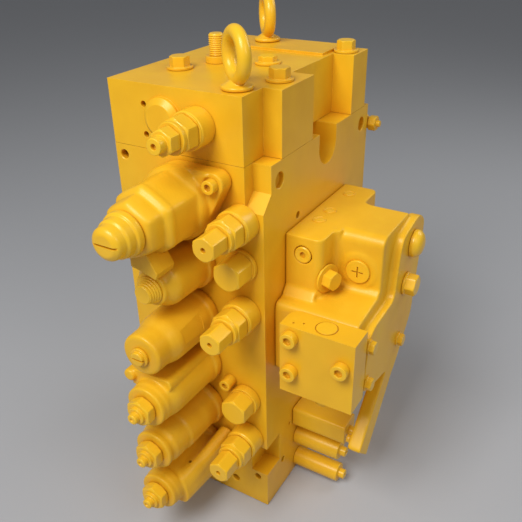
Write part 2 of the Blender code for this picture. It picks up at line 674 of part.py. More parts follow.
def relief(number, x, z, mat):
    """Relief cartridge and its adjusting screw, axis along -Y."""
    barrel = RELIEF_BARREL
    hexed = barrel + RELIEF_HEX_LEN
    ring = hexed + RELIEF_RING_LEN
    bore = RELIEF_STEM_R + GAP
    wall = barrel - RELIEF_LAND
    rings = (
        Ring(-RELIEF_SHANK_LEN, RELIEF_CHAMBER_R), Ring(-RELIEF_SHANK_LEN, RELIEF_SHANK_R),
        Ring(0, RELIEF_SHANK_R), Ring(0, RELIEF_R), Ring(barrel, RELIEF_R), Ring(barrel, RELIEF_HEX_AF, "h"),
        Ring(hexed, RELIEF_HEX_AF, "h"), Ring(hexed, RELIEF_RING_R), Ring(ring, RELIEF_RING_R), Ring(ring, bore),
        Ring(wall, bore), Ring(wall, RELIEF_CHAMBER_R),
    )
    stack(f"relief_housing_{number}", (x, FRONT, z), (0, -1, 0), rings, mat)
    tip = RELIEF_NUT_LEN
    rings = [Ring(-RELIEF_REACH, 0), Ring(-RELIEF_REACH, RELIEF_STEM_R), Ring(0, RELIEF_STEM_R),
             Ring(0, RELIEF_NUT_AF, "h")]
    if number == 1:
        rings += [Ring(RELIEF_SHORT_NUT, RELIEF_NUT_AF, "h"), Ring(RELIEF_SHORT_NUT, RELIEF_STUD_R),
                  Ring(tip, RELIEF_STUD_R)]
    else:
        rings += [Ring(tip - PILOT_EDGE, RELIEF_NUT_AF, "h"), Ring(tip, RELIEF_NUT_AF * 0.9, "h")]
    rings += [Ring(tip, RELIEF_SOCKET_AF, "h"), Ring(tip - SOCKET_DEEP, RELIEF_SOCKET_AF, "h"),
              Ring(tip - SOCKET_DEEP, 0)]
    item = stack(f"relief_adjuster_{number}", (0, 0, 0), (0, -1, 0), rings, mat, SMALL_SEG)
    item.location = (x, FRONT - ring - GAP, z)


def plug(name, origin, axis, collar_r, collar_t, across, length, shank_r, shank_len, mat, seg=SEG):
    """Hex plug with a round collar on the face at the origin."""
    edge = PILOT_EDGE
    rings = (Ring(-shank_len, 0), Ring(-shank_len, shank_r), Ring(0, shank_r), Ring(0, collar_r),
             Ring(collar_t, collar_r), Ring(collar_t, across, "h"), Ring(length - edge, across, "h"),
             Ring(length, across * 0.9, "h"), Ring(length, 0))
    return stack(name, origin, axis, rings, mat, seg)


def spool(number, z, mat):
    """Main spool with lands, necks, a spring stem in front and a tail behind."""
    shoulder = BODY_FRONT + STEM_SHOULDER
    head = shoulder - STEM_LEN
    rings = [Ring(head - STEM_HEAD_LEN, 0), Ring(head - STEM_HEAD_LEN, STEM_HEAD_R), Ring(head, STEM_HEAD_R),
             Ring(head, STEM_R), Ring(shoulder, STEM_R), Ring(shoulder, SPOOL_R)]
    for y in (-PORT_PITCH, PORT_PITCH):
        inner = math.copysign(LAND_INNER, y)
        outer = math.copysign(LAND_OUTER, y)
        start = y + min(-inner, outer)
        end = y + max(-inner, outer)
        rings += [Ring(start, SPOOL_R), Ring(start + LAND_SLOPE, SPOOL_NECK_R), Ring(end - LAND_SLOPE, SPOOL_NECK_R),
                  Ring(end, SPOOL_R)]
    tail = BODY_BACK + SPOOL_TAIL
    rings += [Ring(tail, SPOOL_R), Ring(tail, 0)]
    item = stack(f"spool_{number}", (0, 0, 0), (0, 1, 0), rings, mat, SMALL_SEG)
    item.location = (0, 0, z)


def spring(number, z, mat):
    """Return spring between the spool shoulder and the end wall of the cap."""
    start = SPRING_SEAT + SPRING_WIRE + GAP
    end = CAP_BORE_DEEP - SPRING_WIRE - GAP
    steps = 8
    section = 3
    count = SPRING_TURNS * steps
    bm = bmesh.new()
    rows = []
    for k in range(count + 1):
        angle = 2 * math.pi * k / steps
        along = start + (end - start) * k / count
        centre = Vector((SPRING_R * math.cos(angle), -along, SPRING_R * math.sin(angle)))
        radial = Vector((math.cos(angle), 0, math.sin(angle)))
        row = []
        for j in range(section):
            spin = 2 * math.pi * j / section
            offset = radial * math.cos(spin) + Vector((0, math.sin(spin), 0))
            row.append(bm.verts.new(centre + offset * SPRING_WIRE))
        rows.append(row)
    bm.faces.new(rows[0])
    bm.faces.new(rows[-1])
    for one, two in zip(rows, rows[1:]):
        for j in range(section):
            nxt = (j + 1) % section
            bm.faces.new((one[j], one[nxt], two[nxt], two[j]))
    item = link(f"spring_{number}", bm, mat)
    item.location = (0, FRONT, z)


def chamber_cutter(number, z, length):
    """Cutter for a spring chamber and the hole of its stroke screw."""
    screw = CAP_SCREW_R + GAP
    rings = (Ring(-OUT, 0), Ring(-OUT, CAP_BORE_R), Ring(CAP_BORE_DEEP, CAP_BORE_R), Ring(CAP_BORE_DEEP, screw),
             Ring(length + OUT, screw), Ring(length + OUT, 0))
    return stack(f"cut_chamber_bore_{number}", (0, FRONT, z), (0, -1, 0), rings, None)


def cap(number, z, mat):
    """Spring cap with a stepped outside and a blind spring chamber."""
    shape = CAPS[number]
    screw = CAP_SCREW_R + GAP
    rings = [
        Ring(0, CAP_BORE_R), Ring(0, CAP_FLANGE_R), Ring(CAP_FLANGE_T, CAP_FLANGE_R),
        Ring(CAP_FLANGE_T + CAP_RIM, shape.body_r), Ring(shape.body_end, shape.body_r - CAP_RIM),
        Ring(shape.shoulder_end, shape.nose_r), Ring(shape.length - CAP_RIM, shape.nose_r),
        Ring(shape.length, shape.nose_r - CAP_RIM), Ring(shape.length, screw), Ring(CAP_BORE_DEEP, screw),
        Ring(CAP_BORE_DEEP, CAP_BORE_R),
    ]
    item = stack(f"cap_{number}", (0, FRONT, z), (0, -1, 0), rings, mat)
    if number == 1:
        low = -CAPS[1].body_r
        wing = ((0.004, z - 0.010), (0.0225, z - 0.011), (0.0265, z - 0.004), (0.0245, z + 0.006), (0.004, z + 0.018))
        fuse(item, prism("add_wing", wing, "y", FRONT - 0.077, FRONT - ROOT))
        lobe = ((-0.009, z + low + 0.004), (0.013, z + low + 0.006), (0.015, z + low - 0.004), (0.004, z + low - 0.008),
                (-0.009, z + low - 0.007))
        fuse(item, prism("add_lobe", lobe, "y", FRONT - 0.086, FRONT - ROOT))
    elif number == 3:
        top = CAPS[3].body_r
        saddle = ((-0.031, z + 0.010), (-0.034, z + top - 0.006), (-0.028, z + top), (0.021, z + top + 0.001),
                  (0.024, z + top - 0.007), (0.016, z + 0.010))
        fuse(item, prism("add_saddle", saddle, "y", FRONT - 0.084, FRONT - ROOT))
        fuse(item, rod("add_saddle_boss", (-0.031, FRONT, z + top - 0.008), (0, -1, 0), 0.070, 0.088, 0.0075))
    elif number == 4:
        wing = ((0.004, z - 0.028), (0.026, z - 0.020), (0.034, z - 0.006), (0.034, z + 0.010), (0.014, z + 0.022))
        fuse(item, prism("add_side_pad", wing, "y", FRONT - 0.074, FRONT - ROOT))
        cut(item, box("cut_side_flat", (CAPS[4].body_r, FRONT - 0.066, z - 0.012),
                      (CAPS[4].body_r + OUT, FRONT - 0.030, z + 0.014)))
    if number in (1, 3, 4):
        cut(item, chamber_cutter(number, z, shape.length))
    return item


def bonnet(z, mat):
    """Holding-valve bonnet on two lugs with a hexagon nose."""
    right, left = bonnet_lugs()
    lean = math.degrees(math.atan2(right[1] - z, right[0]))
    plate = arc((0, z), BONNET_R, lean + 60, lean + 120, 4)
    plate += arc(left, BONNET_LUG_R, lean + 110, lean + 250, 6)
    plate += arc((0, z), BONNET_R, lean + 240, lean + 300, 4)
    plate += arc(right, BONNET_LUG_R, lean - 70, lean + 70, 6)
    item = prism("cap_6", plate, "y", FRONT - BONNET_LUG_T, FRONT, mat)
    nose = BONNET_LEN - BONNET_HEX_LEN
    edge = BONNET_HEX_AF * 0.05
    rings = (
        Ring(CAP_RIM, 0), Ring(CAP_RIM, BONNET_R - CAP_RIM), Ring(nose * 0.45, BONNET_R - CAP_RIM),
        Ring(nose, BONNET_R - BONNET_TAPER), Ring(nose + edge, BONNET_HEX_AF, "h"),
        Ring(BONNET_LEN - edge, BONNET_HEX_AF, "h"), Ring(BONNET_LEN, BONNET_HEX_AF - 2 * edge, "h"),
        Ring(BONNET_LEN, 0),
    )
    fuse(item, stack("add_bonnet", (0, FRONT, z), (0, -1, 0), rings, None))
    under = z - BONNET_PITCH + CAPS[5].body_r + CAP_SPACE / 3
    foot = ((-0.009, z - BONNET_R * 0.6), (0.008, z - BONNET_R * 0.6), (0.008, z - BONNET_R * 0.9),
            (BONNET_FOOT_X, z - BONNET_FOOT_DROP),
            (BONNET_FOOT_X - 0.003, z - BONNET_FOOT_DROP - BONNET_FOOT_T), (0.004, under), (-0.009, under))
    start = FRONT - nose + BONNET_FOOT_BEHIND
    fuse(item, prism("add_bonnet_foot", foot, "y", start - BONNET_FOOT_LEN, start))
    cut(item, chamber_cutter(SPOOLS, z, BONNET_LEN))
    for tag, at in (("right", right), ("left", left)):
        cut(item, rod(f"cut_bonnet_{tag}", (at[0], FRONT, at[1]), (0, -1, 0), -OUT, OUT + BONNET_LUG_T, M8_R + GAP))
    return item


def stroke_heads():
    """Outer ends of the six stroke screws, as rings from the end face of the cap."""
    nut = [Ring(0, 0.0285, "h"), Ring(0.012, 0.0285, "h"), Ring(0.012, 0.0098), Ring(0.0155, 0.0098),
           Ring(0.0155, 0.0060), Ring(0.021, 0.0060), Ring(0.022, 0.0048), Ring(0.022, 0)]
    disc = [Ring(0, 0.0105), Ring(0.003, 0.0105), Ring(0.003, 0.0078), Ring(0.007, 0.0078), Ring(0.007, 0)]
    ridged = [Ring(0, 0.0150)]
    ridge = 0.0032
    for k in range(4):
        radius = 0.0150 - 0.0012 * k
        ridged += [Ring(ridge * (k + 0.7), radius), Ring(ridge * (k + 1), radius - 0.0012)]
    ridged.append(Ring(ridge * 4, 0))
    nose = [Ring(0, 0.0190), Ring(0.003, 0.0205), Ring(0.008, 0.0205), Ring(0.010, 0.0180), Ring(0.020, 0.0175),
            Ring(0.022, 0.0150), Ring(0.029, 0.0140), Ring(0.031, 0.0115), Ring(0.031, 0)]
    return {1: nut, 2: nut, 3: nut, 4: disc, 5: ridged, 6: nose}


def stroke_screw(number, z, outer_end, head, mat):
    """Adjusting screw through the end of a cap."""
    reach = outer_end - STROKE_TIP
    rings = [Ring(-reach, 0), Ring(-reach, CAP_SCREW_R), Ring(0, CAP_SCREW_R)] + head
    item = stack(f"stroke_screw_{number}", (0, 0, 0), (0, -1, 0), rings, mat, SMALL_SEG)
    item.location = (0, FRONT - outer_end - GAP, z)
    return item


def screwdriver_slot(head, number, rings):
    """Cut a slot across the end face of a stroke screw."""
    face = -rings[-1].along
    radius = rings[-2].size * 1.2
    half = 0.0011
    tool = box(f"cut_slot_{number}", (-radius, face - OUT, -half), (radius, face + 0.0026, half))
    tool.parent = head
    cut(head, tool)


def spool_sections(mats):
    """Spools, springs, caps and stroke screws of the six sections."""
    heads = stroke_heads()
    for number, z in enumerate(SPOOL_ZS, 1):
        spool(number, z, mats["steel"])
        spring(number, z, mats["spring"])
        if number < SPOOLS:
            cap(number, z, mats["cast"])
            end = CAPS[number].length
        else:
            bonnet(z, mats["cast"])
            end = BONNET_LEN
        head = stroke_screw(number, z, end, heads[number], mats["paint"])
        if number in (4, 6):
            screwdriver_slot(head, number, heads[number])


def front_fittings(mat):
    """Relief cartridges, hex plugs and screws of the front face."""
    relief(1, TOP_RELIEF_X, TOP_RELIEF_Z, mat)
    for number, z in enumerate(RELIEF_ZS, 2):
        relief(number, RELIEF_X, z, mat)
    for name, z, collar_t in (("upper_hex_plug", UPPER_PLUG_Z, PLUG_COLLAR_T), ("lower_hex_plug", LOWER_PLUG_Z,
                                                                                 PLUG_COLLAR_T * 2)):
        plug(name, (PLUG_X, FRONT, z), (0, -1, 0), PLUG_COLLAR_R, collar_t, PLUG_HEX_AF, PLUG_HEX_LEN + PLUG_COLLAR_T,
             PLUG_SHANK_R, PLUG_SHANK_LEN, mat)
    lug = bonnet_lugs()[0]
    cap_screw("bonnet_screw", (lug[0], FRONT - BONNET_LUG_T - GAP, lug[1]), (0, -1, 0), M8_HEAD_R, M8_HEAD_H, M8_R,
              BONNET_LUG_T + TAP_DEEP, M8_AF, mat)
    cap_screw("front_screw", (SIDE_SCREW_X, FRONT, SIDE_SCREW_Z), (0, -1, 0), M8_HEAD_R, SIDE_SCREW_H, M8_R, TAP_DEEP,
              M8_AF, mat)


def rear_cover(mat_cover, mat_plug):
    """Pilot cover over the spool tails and the angle plug beside it."""
    half = COVER_W / 2
    boss = PILOT_BOSS_W / 2
    crown = REAR + COVER_T + PILOT_BOSS_H
    plan = ((-half, REAR), (half, REAR), (half, REAR + COVER_EDGE_T), (boss + PILOT_BOSS_SLOPE, REAR + COVER_T),
            (boss, crown), (-boss, crown), (-boss - PILOT_BOSS_SLOPE, REAR + COVER_T), (-half, REAR + COVER_EDGE_T))
    item = prism("rear_cover", plan, "z", SPOOL_ZS[0] - COVER_EDGE, SPOOL_ZS[-1] + COVER_EDGE, mat_cover)
    for number, z in enumerate(SPOOL_ZS, 1):
        cut(item, rod(f"cut_chamber_{number}", (0, REAR, z), (0, 1, 0), -OUT, CHAMBER_DEEP, BORE_R))
    edge = PILOT_EDGE
    rings = (Ring(-ANGLE_PLUG_TAP, 0), Ring(-ANGLE_PLUG_TAP, TAP_R), Ring(0, TAP_R), Ring(0, ANGLE_PLUG_R),
             Ring(ANGLE_PLUG_LEN - edge, ANGLE_PLUG_R), Ring(ANGLE_PLUG_LEN, ANGLE_PLUG_R - edge),
             Ring(ANGLE_PLUG_LEN, 0))
    item = stack("rear_plug", (ANGLE_PLUG_X, REAR, ANGLE_PLUG_Z), (0, 1, 0), rings, mat_plug, SMALL_SEG)
    neck = ANGLE_ARM_REACH * 0.5
    hexed = ANGLE_ARM_REACH * 0.85
    rings = (Ring(0, 0), Ring(0, ANGLE_ARM_R), Ring(neck, ANGLE_ARM_R), Ring(neck, ANGLE_ARM_AF, "h"),
             Ring(hexed, ANGLE_ARM_AF, "h"), Ring(hexed, ANGLE_NUB_R), Ring(ANGLE_ARM_REACH, ANGLE_NUB_R),
             Ring(ANGLE_ARM_REACH, 0))
    fuse(item, stack("add_angle_arm", (ANGLE_PLUG_X, REAR + ANGLE_ARM_AT, ANGLE_PLUG_Z), (1, 0, 0), rings, None,
                     SMALL_SEG))


def side_casting(mat):
    """Side valve block: an upright bar, an arm, a sloping deck and the curved end flange."""
    deck = [(DECK_FRONT, SIDE_LOW), (DECK_FRONT, DECK_LIP), (ARM_FRONT, DECK_Z), (ARM_BACK, DECK_Z)]
    keel = [(ARM_BACK - KEEL_IN, SIDE_LOW - KEEL_DROP), (DECK_FRONT + 0.048, SIDE_LOW - KEEL_FRONT)]
    bar = deck + [(SIDE_BACK, DECK_Z), (SIDE_BACK, SIDE_LOW + BAR_RISE), (ARM_BACK + 0.005, SIDE_LOW + HEEL_RISE)]
    item = prism("side_casting", bar + keel, "x", SIDE_X, SIDE_BAR_X, mat)
    fuse(item, prism("add_arm", deck + [(ARM_BACK, SIDE_LOW + HEEL_RISE)] + keel, "x", SIDE_BAR_X - ROOT, ARM_X))
    plan = [(SIDE_X, SIDE_BACK), (SIDE_X, SIDE_FRONT)]
    plan += arc((SIDE_BAR_X - BAR_ROUND, SIDE_FRONT + BAR_ROUND), BAR_ROUND, 270, 360, 3)
    plan += arc((SIDE_BAR_X + CORNER_ROUND, ARM_FRONT - CORNER_ROUND), CORNER_ROUND, 180, 90, 4)
    plan += [(ARM_X, ARM_FRONT), (ARM_X, ARM_BACK), (SIDE_BAR_X, ARM_BACK), (SIDE_BAR_X, SIDE_BACK)]
    fuse(item, prism("add_upper", plan, "z", DECK_Z - ROOT * 2, SIDE_TOP))
    fuse(item, end_flange())
    leg = ((DECK_FRONT + 0.008, SIDE_LOW - 0.088), (DECK_FRONT + 0.033, SIDE_LOW - 0.113),
           (ARM_BACK - 0.038, SIDE_LOW - 0.040), (ARM_BACK - KEEL_IN, SIDE_LOW - KEEL_DROP),
           (ARM_BACK - KEEL_IN, SIDE_LOW - KEEL_FRONT), (DECK_FRONT + 0.084, SIDE_LOW - KEEL_FRONT))
    fuse(item, prism("add_leg", leg, "x", ARM_X - LEG_W, ARM_X + ROOT / 2))
    rounding = [(ARM_FRONT - OUT, SIDE_TOP + OUT), (ARM_FRONT - OUT, SIDE_TOP - ARM_ROUND)]
    rounding += arc((ARM_FRONT + ARM_ROUND, SIDE_TOP - ARM_ROUND), ARM_ROUND, 180, 90, 5)
    rounding += [(ARM_FRONT + ARM_ROUND, SIDE_TOP + OUT)]
    cut(item, prism("cut_arm_round", rounding, "x", SIDE_BAR_X + CORNER_ROUND * 0.6, ARM_X + GAP))
    for number, (y, z) in enumerate(FLANGE_BOLTS, 1):
        top = FLANGE_WASHER_T + FLANGE_BOLT_HEAD_H
        rings = (Ring(-ROOT, 0), Ring(-ROOT, FLANGE_WASHER_R), Ring(FLANGE_WASHER_T, FLANGE_WASHER_R),
                 Ring(FLANGE_WASHER_T, FLANGE_BOLT_HEAD_AF, "h"), Ring(top, FLANGE_BOLT_HEAD_AF, "h"), Ring(top, 0))
        fuse(item, stack(f"add_flange_bolt_{number}", (END_X, y, z), (1, 0, 0), rings, None, SMALL_SEG))
    fuse(item, rod("add_tail_bolt", (END_X, *TAIL_BOLT), (1, 0, 0), -ROOT, FLANGE_BOLT_HEAD_H, TAIL_BOLT_R))
    for number, y in enumerate(OVAL_YS, 1):
        fuse(item, rod(f"add_oval_{number}", (OVAL_X, y, SIDE_TOP), (0, 0, 1), -ROOT, FLANGE_WASHER_T, OVAL_R))
    side_seats(item)
    return item


def end_flange():
    """Curved end flange of the side casting with its hanging tail."""
    rim = [(ARM_BACK + 0.010, SIDE_TOP - 0.003), (ARM_FRONT + 0.037, SIDE_TOP - 0.0115),
           (ARM_FRONT + 0.030, SIDE_TOP - 0.026), (ARM_FRONT + 0.0255, SIDE_TOP - 0.055),
           (ARM_FRONT + 0.023, DECK_Z - 0.010), (ARM_FRONT + 0.015, DECK_Z - 0.0155),
           (ARM_FRONT - 0.034, DECK_LIP - 0.011), (DECK_FRONT + 0.009, DECK_LIP - 0.020),
           (DECK_FRONT + 0.004, SIDE_LOW + 0.006), (DECK_FRONT + 0.020, SIDE_LOW - 0.004)]
    tail = [(DECK_FRONT + 0.076, SIDE_LOW - 0.016), (DECK_FRONT + 0.008, SIDE_LOW - 0.088),
            (DECK_FRONT + 0.033, SIDE_LOW - 0.113), (ARM_BACK - 0.038, SIDE_LOW - 0.040),
            (ARM_BACK - 0.017, SIDE_LOW - 0.020)]
    back = [(ARM_BACK - 0.007, SIDE_LOW - 0.008), (ARM_BACK + 0.020, SIDE_LOW + 0.024),
            (ARM_BACK + 0.022, SIDE_LOW + 0.062), (ARM_BACK + 0.032, SIDE_TOP - 0.040),
            (ARM_BACK + 0.031, SIDE_TOP - 0.017)]
    return prism("add_end_flange", rim + tail + back, "x", ARM_X - ROOT, END_X)


def side_seats(item):
    """Cut the seats of the plugs and cover screws into the side casting."""
    tilt = Vector(FLANGED_TILT).normalized()
    flanged = Vector((SIDE_BAR_X, FLANGED_Y, FLANGED_Z))
    cut(item, rod("cut_socket_plug", (SOCKET_PLUG_X, SIDE_FRONT, SOCKET_PLUG_Z), (0, 1, 0), -OUT, SEAT_DEEP,
                  SOCKET_PLUG_R + GAP))
    cut(item, rod("cut_cross_plug", (CROSS_X, ARM_FRONT, CROSS_Z), (0, 1, 0), -OUT, SEAT_DEEP, CROSS_SHANK_R + GAP,
                  SEG))
    cut(item, rod("cut_flanged_seat", flanged, tilt, 0, OUT, FLANGED_R + 0.002))
    cut(item, rod("cut_flanged_plug", flanged, tilt, -SEAT_DEEP, OUT, PLUG_SMALL_R + GAP))
    cut(item, rod("cut_dome_plug", (END_X, DOME_Y, DOME_Z), (1, 0, 0), -SEAT_DEEP, OUT, DOME_SHANK_R + GAP, SEG))
    cut(item, rod("cut_side_hex", (END_X, SIDE_HEX_Y, SIDE_HEX_Z), (1, 0, 0), -SEAT_DEEP, OUT, PLUG_SMALL_R + GAP))
    for number, (x, z) in enumerate(COVER_SCREWS, 1):
        cut(item, rod(f"cut_cover_tap_{number}", (x, DECK_FRONT, z), (0, 1, 0), -OUT, TAP_DEEP + GAP, M12_R + GAP))


def cover_block(mat_cast, mat_screw):
    """Cover block on the deck with its three socket head screws."""
    back = DECK_FRONT - GAP
    front = back - COVER_DEPTH
    plan = arc((COVER_X0 + COVER_FILLET, back - COVER_FILLET), COVER_FILLET, 90, 180, 4)
    plan += [(COVER_X0, front), (COVER_X1, front), (COVER_X1, back)]
    item = prism("cover_block", plan, "z", COVER_Z0, DECK_LIP, mat_cast)
    middle = (COVER_X0 + COVER_X1) / 2
    fuse(item, rod("add_cover_plug", (middle + 0.004, front + COVER_DEPTH / 2, DECK_LIP), (0, 0, 1), -ROOT,
                   FLANGE_WASHER_T / 2, COVER_PLUG_R))
    fuse(item, rod("add_cover_fitting", (middle + 0.002, front + COVER_DEPTH * 0.55, COVER_Z0), (0, 0, -1), -ROOT,
                   COVER_FITTING_H, COVER_FITTING_R))
    for number, (x, z) in enumerate(COVER_SCREWS, 1):
        cut(item, rod(f"cut_cover_hole_{number}", (x, front, z), (0, 1, 0), -OUT, COVER_DEPTH + OUT, M12_R + GAP))
        cap_screw(f"cover_screw_{number}", (x, front - GAP, z), (0, -1, 0), M12_HEAD_R, M12_HEAD_H, M12_R,
                  COVER_DEPTH + TAP_DEEP - GAP, M12_AF, mat_screw)
    return item


def side_plugs(mat):
    """Plugs of the side casting."""
    edge = PILOT_EDGE
    rings = (Ring(-SHANK_LEN, 0), Ring(-SHANK_LEN, SOCKET_PLUG_R), Ring(0, SOCKET_PLUG_R),
             Ring(edge, SOCKET_PLUG_R - edge), Ring(edge, SOCKET_PLUG_AF, "h"),
             Ring(edge - SOCKET_DEEP, SOCKET_PLUG_AF, "h"), Ring(edge - SOCKET_DEEP, 0))
    stack("socket_plug", (SOCKET_PLUG_X, SIDE_FRONT, SOCKET_PLUG_Z), (0, -1, 0), rings, mat, SMALL_SEG)
    head = ROOT
    rings = (Ring(-SHANK_LEN, 0), Ring(-SHANK_LEN, CROSS_SHANK_R), Ring(0, CROSS_SHANK_R), Ring(0, CROSS_R),
             Ring(head - edge, CROSS_R), Ring(head, CROSS_R - edge), Ring(head, 0))
    face = ARM_FRONT - GAP
    disc = stack("cross_plug", (CROSS_X, face, CROSS_Z), (0, -1, 0), rings, mat)
    reach = CROSS_R * 0.62
    half = CROSS_SLOT / 2
    bottom = face - head / 2
    cut(disc, box("cut_cross_level", (CROSS_X - reach, face - OUT, CROSS_Z - half),
                  (CROSS_X + reach, bottom, CROSS_Z + half)))
    cut(disc, box("cut_cross_upright", (CROSS_X - half, face - OUT, CROSS_Z - reach),
                  (CROSS_X + half, bottom, CROSS_Z + reach)))
    tilt = Vector(FLANGED_TILT).normalized()
    seat = Vector((SIDE_BAR_X, FLANGED_Y, FLANGED_Z)) + tilt * GAP
    plug("flanged_plug", seat, tilt, FLANGED_R, WASHER_T, FLANGED_AF, FLANGED_LEN, PLUG_SMALL_R, SHANK_LEN, mat,
         SMALL_SEG)
    rings = (Ring(-SHANK_LEN, 0), Ring(-SHANK_LEN, DOME_SHANK_R), Ring(0, DOME_SHANK_R), Ring(0, DOME_R),
             Ring(DOME_H * 0.4, DOME_R), Ring(DOME_H * 0.8, DOME_R * 0.75), Ring(DOME_H, DOME_R * 0.4), Ring(DOME_H, 0))
    stack("dome_plug", (END_X + GAP, DOME_Y, DOME_Z), (1, 0, 0), rings, mat)
    plug("side_hex_plug", (END_X + GAP, SIDE_HEX_Y, SIDE_HEX_Z), (1, 0, 0), SIDE_HEX_R, WASHER_T, SIDE_HEX_AF,
         SIDE_HEX_LEN, PLUG_SMALL_R, SHANK_LEN, mat, SMALL_SEG)


def pilot_cylinders(mat):
    """Three shuttle cylinders low on the right face, each with its end screw."""
    for number, (in_y, z, radius, length) in enumerate(PILOTS, 1):
        end = length + PILOT_SCREW_LEN
        rings = (Ring(-PILOT_SHANK_LEN, 0), Ring(-PILOT_SHANK_LEN, PILOT_SHANK_R), Ring(0, PILOT_SHANK_R),
                 Ring(0, radius), Ring(length - PILOT_EDGE, radius), Ring(length, radius - PILOT_EDGE),
                 Ring(length, PILOT_SCREW_R), Ring(end, PILOT_SCREW_R), Ring(end, 0))
        stack(f"pilot_cylinder_{number}", (SIDE_X, BODY_FRONT + in_y, z), (1, 0, 0), rings, mat, SMALL_SEG)


def main():
    """Build the valve."""
    clear_scene()
    mats = {
        "body": material("painted_body", (0.86, 0.46, 0.03), 0.42, 0.0),
        "cast": material("painted_casting", (0.89, 0.49, 0.03), 0.45, 0.0),
        "paint": material("painted_fitting", (0.92, 0.54, 0.04), 0.38, 0.0),
        "steel": material("ground_steel", (0.55, 0.55, 0.56), 0.22, 1.0),
        "spring": material("spring_steel", (0.24, 0.24, 0.25), 0.40, 1.0),
    }
    main_body(mats["body"])
    top_block(mats["body"])
    top_hardware(mats["paint"])
    front_fittings(mats["paint"])
    spool_sections(mats)
    rear_cover(mats["cast"], mats["paint"])
    side_casting(mats["cast"])
    cover_block(mats["cast"], mats["paint"])
    side_plugs(mats["paint"])
    pilot_cylinders(mats["paint"])


main()
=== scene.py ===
"""Looks of a six-spool hydraulic control valve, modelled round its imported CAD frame.

Sizes and places are in millimetres in the row frame: +Z up, the spool bores along Y, the caps
on the -Y face and the side valve block on the +X face. The mesh helpers turn them into metres.
"""

import logging
import math
from dataclasses import dataclass
from enum import Enum
from typing import Iterable, Sequence, Union

import bmesh
import bpy
from mathutils import Matrix, Vector


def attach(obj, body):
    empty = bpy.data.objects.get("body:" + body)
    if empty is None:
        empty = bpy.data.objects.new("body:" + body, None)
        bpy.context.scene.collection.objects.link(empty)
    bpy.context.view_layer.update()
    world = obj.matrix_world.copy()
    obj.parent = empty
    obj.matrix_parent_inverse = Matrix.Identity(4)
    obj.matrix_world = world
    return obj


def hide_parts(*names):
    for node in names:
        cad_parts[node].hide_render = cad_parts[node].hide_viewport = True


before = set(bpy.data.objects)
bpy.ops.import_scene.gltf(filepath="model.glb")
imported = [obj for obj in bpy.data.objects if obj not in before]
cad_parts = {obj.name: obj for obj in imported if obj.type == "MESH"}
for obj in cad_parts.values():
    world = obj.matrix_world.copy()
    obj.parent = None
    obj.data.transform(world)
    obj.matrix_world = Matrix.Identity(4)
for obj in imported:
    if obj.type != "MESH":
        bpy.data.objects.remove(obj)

LOG = logging.getLogger("control_valve")
MM = 0.001
FIXED = "valve_body"

# Faces that the pieces rest on, and the clearance over them.
GAP = 0.3
RIGHT = 90.0
FRONT = -128.0
BACK = 128.0
TOP = 453.0
TOP_FACE = 520.3
FRONT_SEAT = FRONT - GAP
BACK_SEAT = BACK + GAP
SPOOL_ZS = (72.0, 138.0, 204.0, 270.0, 336.0, 410.0)

# Places (x, z) of the relief cartridges and of the hex plugs on the front.
RELIEF_PLACES = ((20.0, 486.8), (66.0, 396.0), (66.0, 289.0), (66.0, 110.0))
PLUG_PLACES = ((64.0, 346.5), (64.0, 168.0))

Point = tuple[float, float]
Place = tuple[float, float, float]
Size = tuple[float, float, float]
Colour = tuple[float, float, float]
Solid = bpy.types.Object
Tree = bpy.types.NodeTree
Wire = bpy.types.NodeSocket

# Angle over which the edge between two faces is sharp, in degrees.
SOFT_ANGLE = 29.3

# Hexagons: how crisp they are, the reach of a flat over that of a tip, the radius of the round end
# face over that of a flat, the length of a chamfer over its depth, and the shares of it with a ring.
HEX_SHARPNESS = 30.0
HEX_TIP = math.cos(math.pi / 6)
HEX_FACE = 0.955
HEX_SLOPE = 0.58
HEX_STEPS = (0.0, 0.35, 0.7, 1.0)

# Roundings of a profile: the shares of one with a ring, the most that it takes of a side, and the
# shortest that is made.
ROUNDING_SHARES = (0.0, 0.25, 0.5, 0.75, 1.0)
ROUNDING_MOST = 0.45
ROUNDING_LEAST = 0.05


class Axis(Enum):
    """Direction that a piece or an outline is built along."""

    RIGHT = (1.0, 0.0, 0.0)
    BACK = (0.0, 1.0, 0.0)
    FRONT = (0.0, -1.0, 0.0)
    UP = (0.0, 0.0, 1.0)
    DOWN = (0.0, 0.0, -1.0)
    LEFT = (-1.0, 0.0, 0.0)


Heading = Union[Axis, Sequence[float]]


class Section(Enum):
    """Cross section of a turned piece at one ring."""

    ROUND = 0.0
    SOFT_HEX = 0.7
    HEX = 1.0


class Operation(Enum):
    """What a helper solid does to the piece."""

    JOIN = "UNION"
    CUT = "DIFFERENCE"


@dataclass(frozen=True)
class Ring:
    """One ring of a turned piece: place along the axis, radius or half width across flats."""

    along: float
    size: float
    section: Section = Section.ROUND
    crown: float = 0.0
    soft: float = -1.0


@dataclass(frozen=True)
class Corner:
    """Ring that is ready for meshing, with its shape as plain numbers."""

    along: float
    size: float
    hexagon: float
    crown: float

    def toward(self, other: "Corner", share: float) -> "Corner":
        """Return the corner that lies part of the way to another.

        Args:
            other: The corner at the far end.
            share: Part of the way, from 0 to 1.

        Returns:
            The corner between the two.
        """
        keep = 1.0 - share
        return Corner(self.along * keep + other.along * share, self.size * keep + other.size * share,
                      self.hexagon * keep + other.hexagon * share, self.crown * keep + other.crown * share)

    def radius(self, angle: float) -> float:
        """Return the distance of the outline from the axis.

        Args:
            angle: Where on the outline, in radians.

        Returns:
            The distance in millimetres.
        """
        folds = sum(abs(math.cos(angle - k * math.pi / 3)) ** HEX_SHARPNESS for k in range(3))
        hexagon = self.size / folds ** (1.0 / HEX_SHARPNESS)
        reach = self.size + (hexagon - self.size) * self.hexagon
        return min(reach, self.crown)


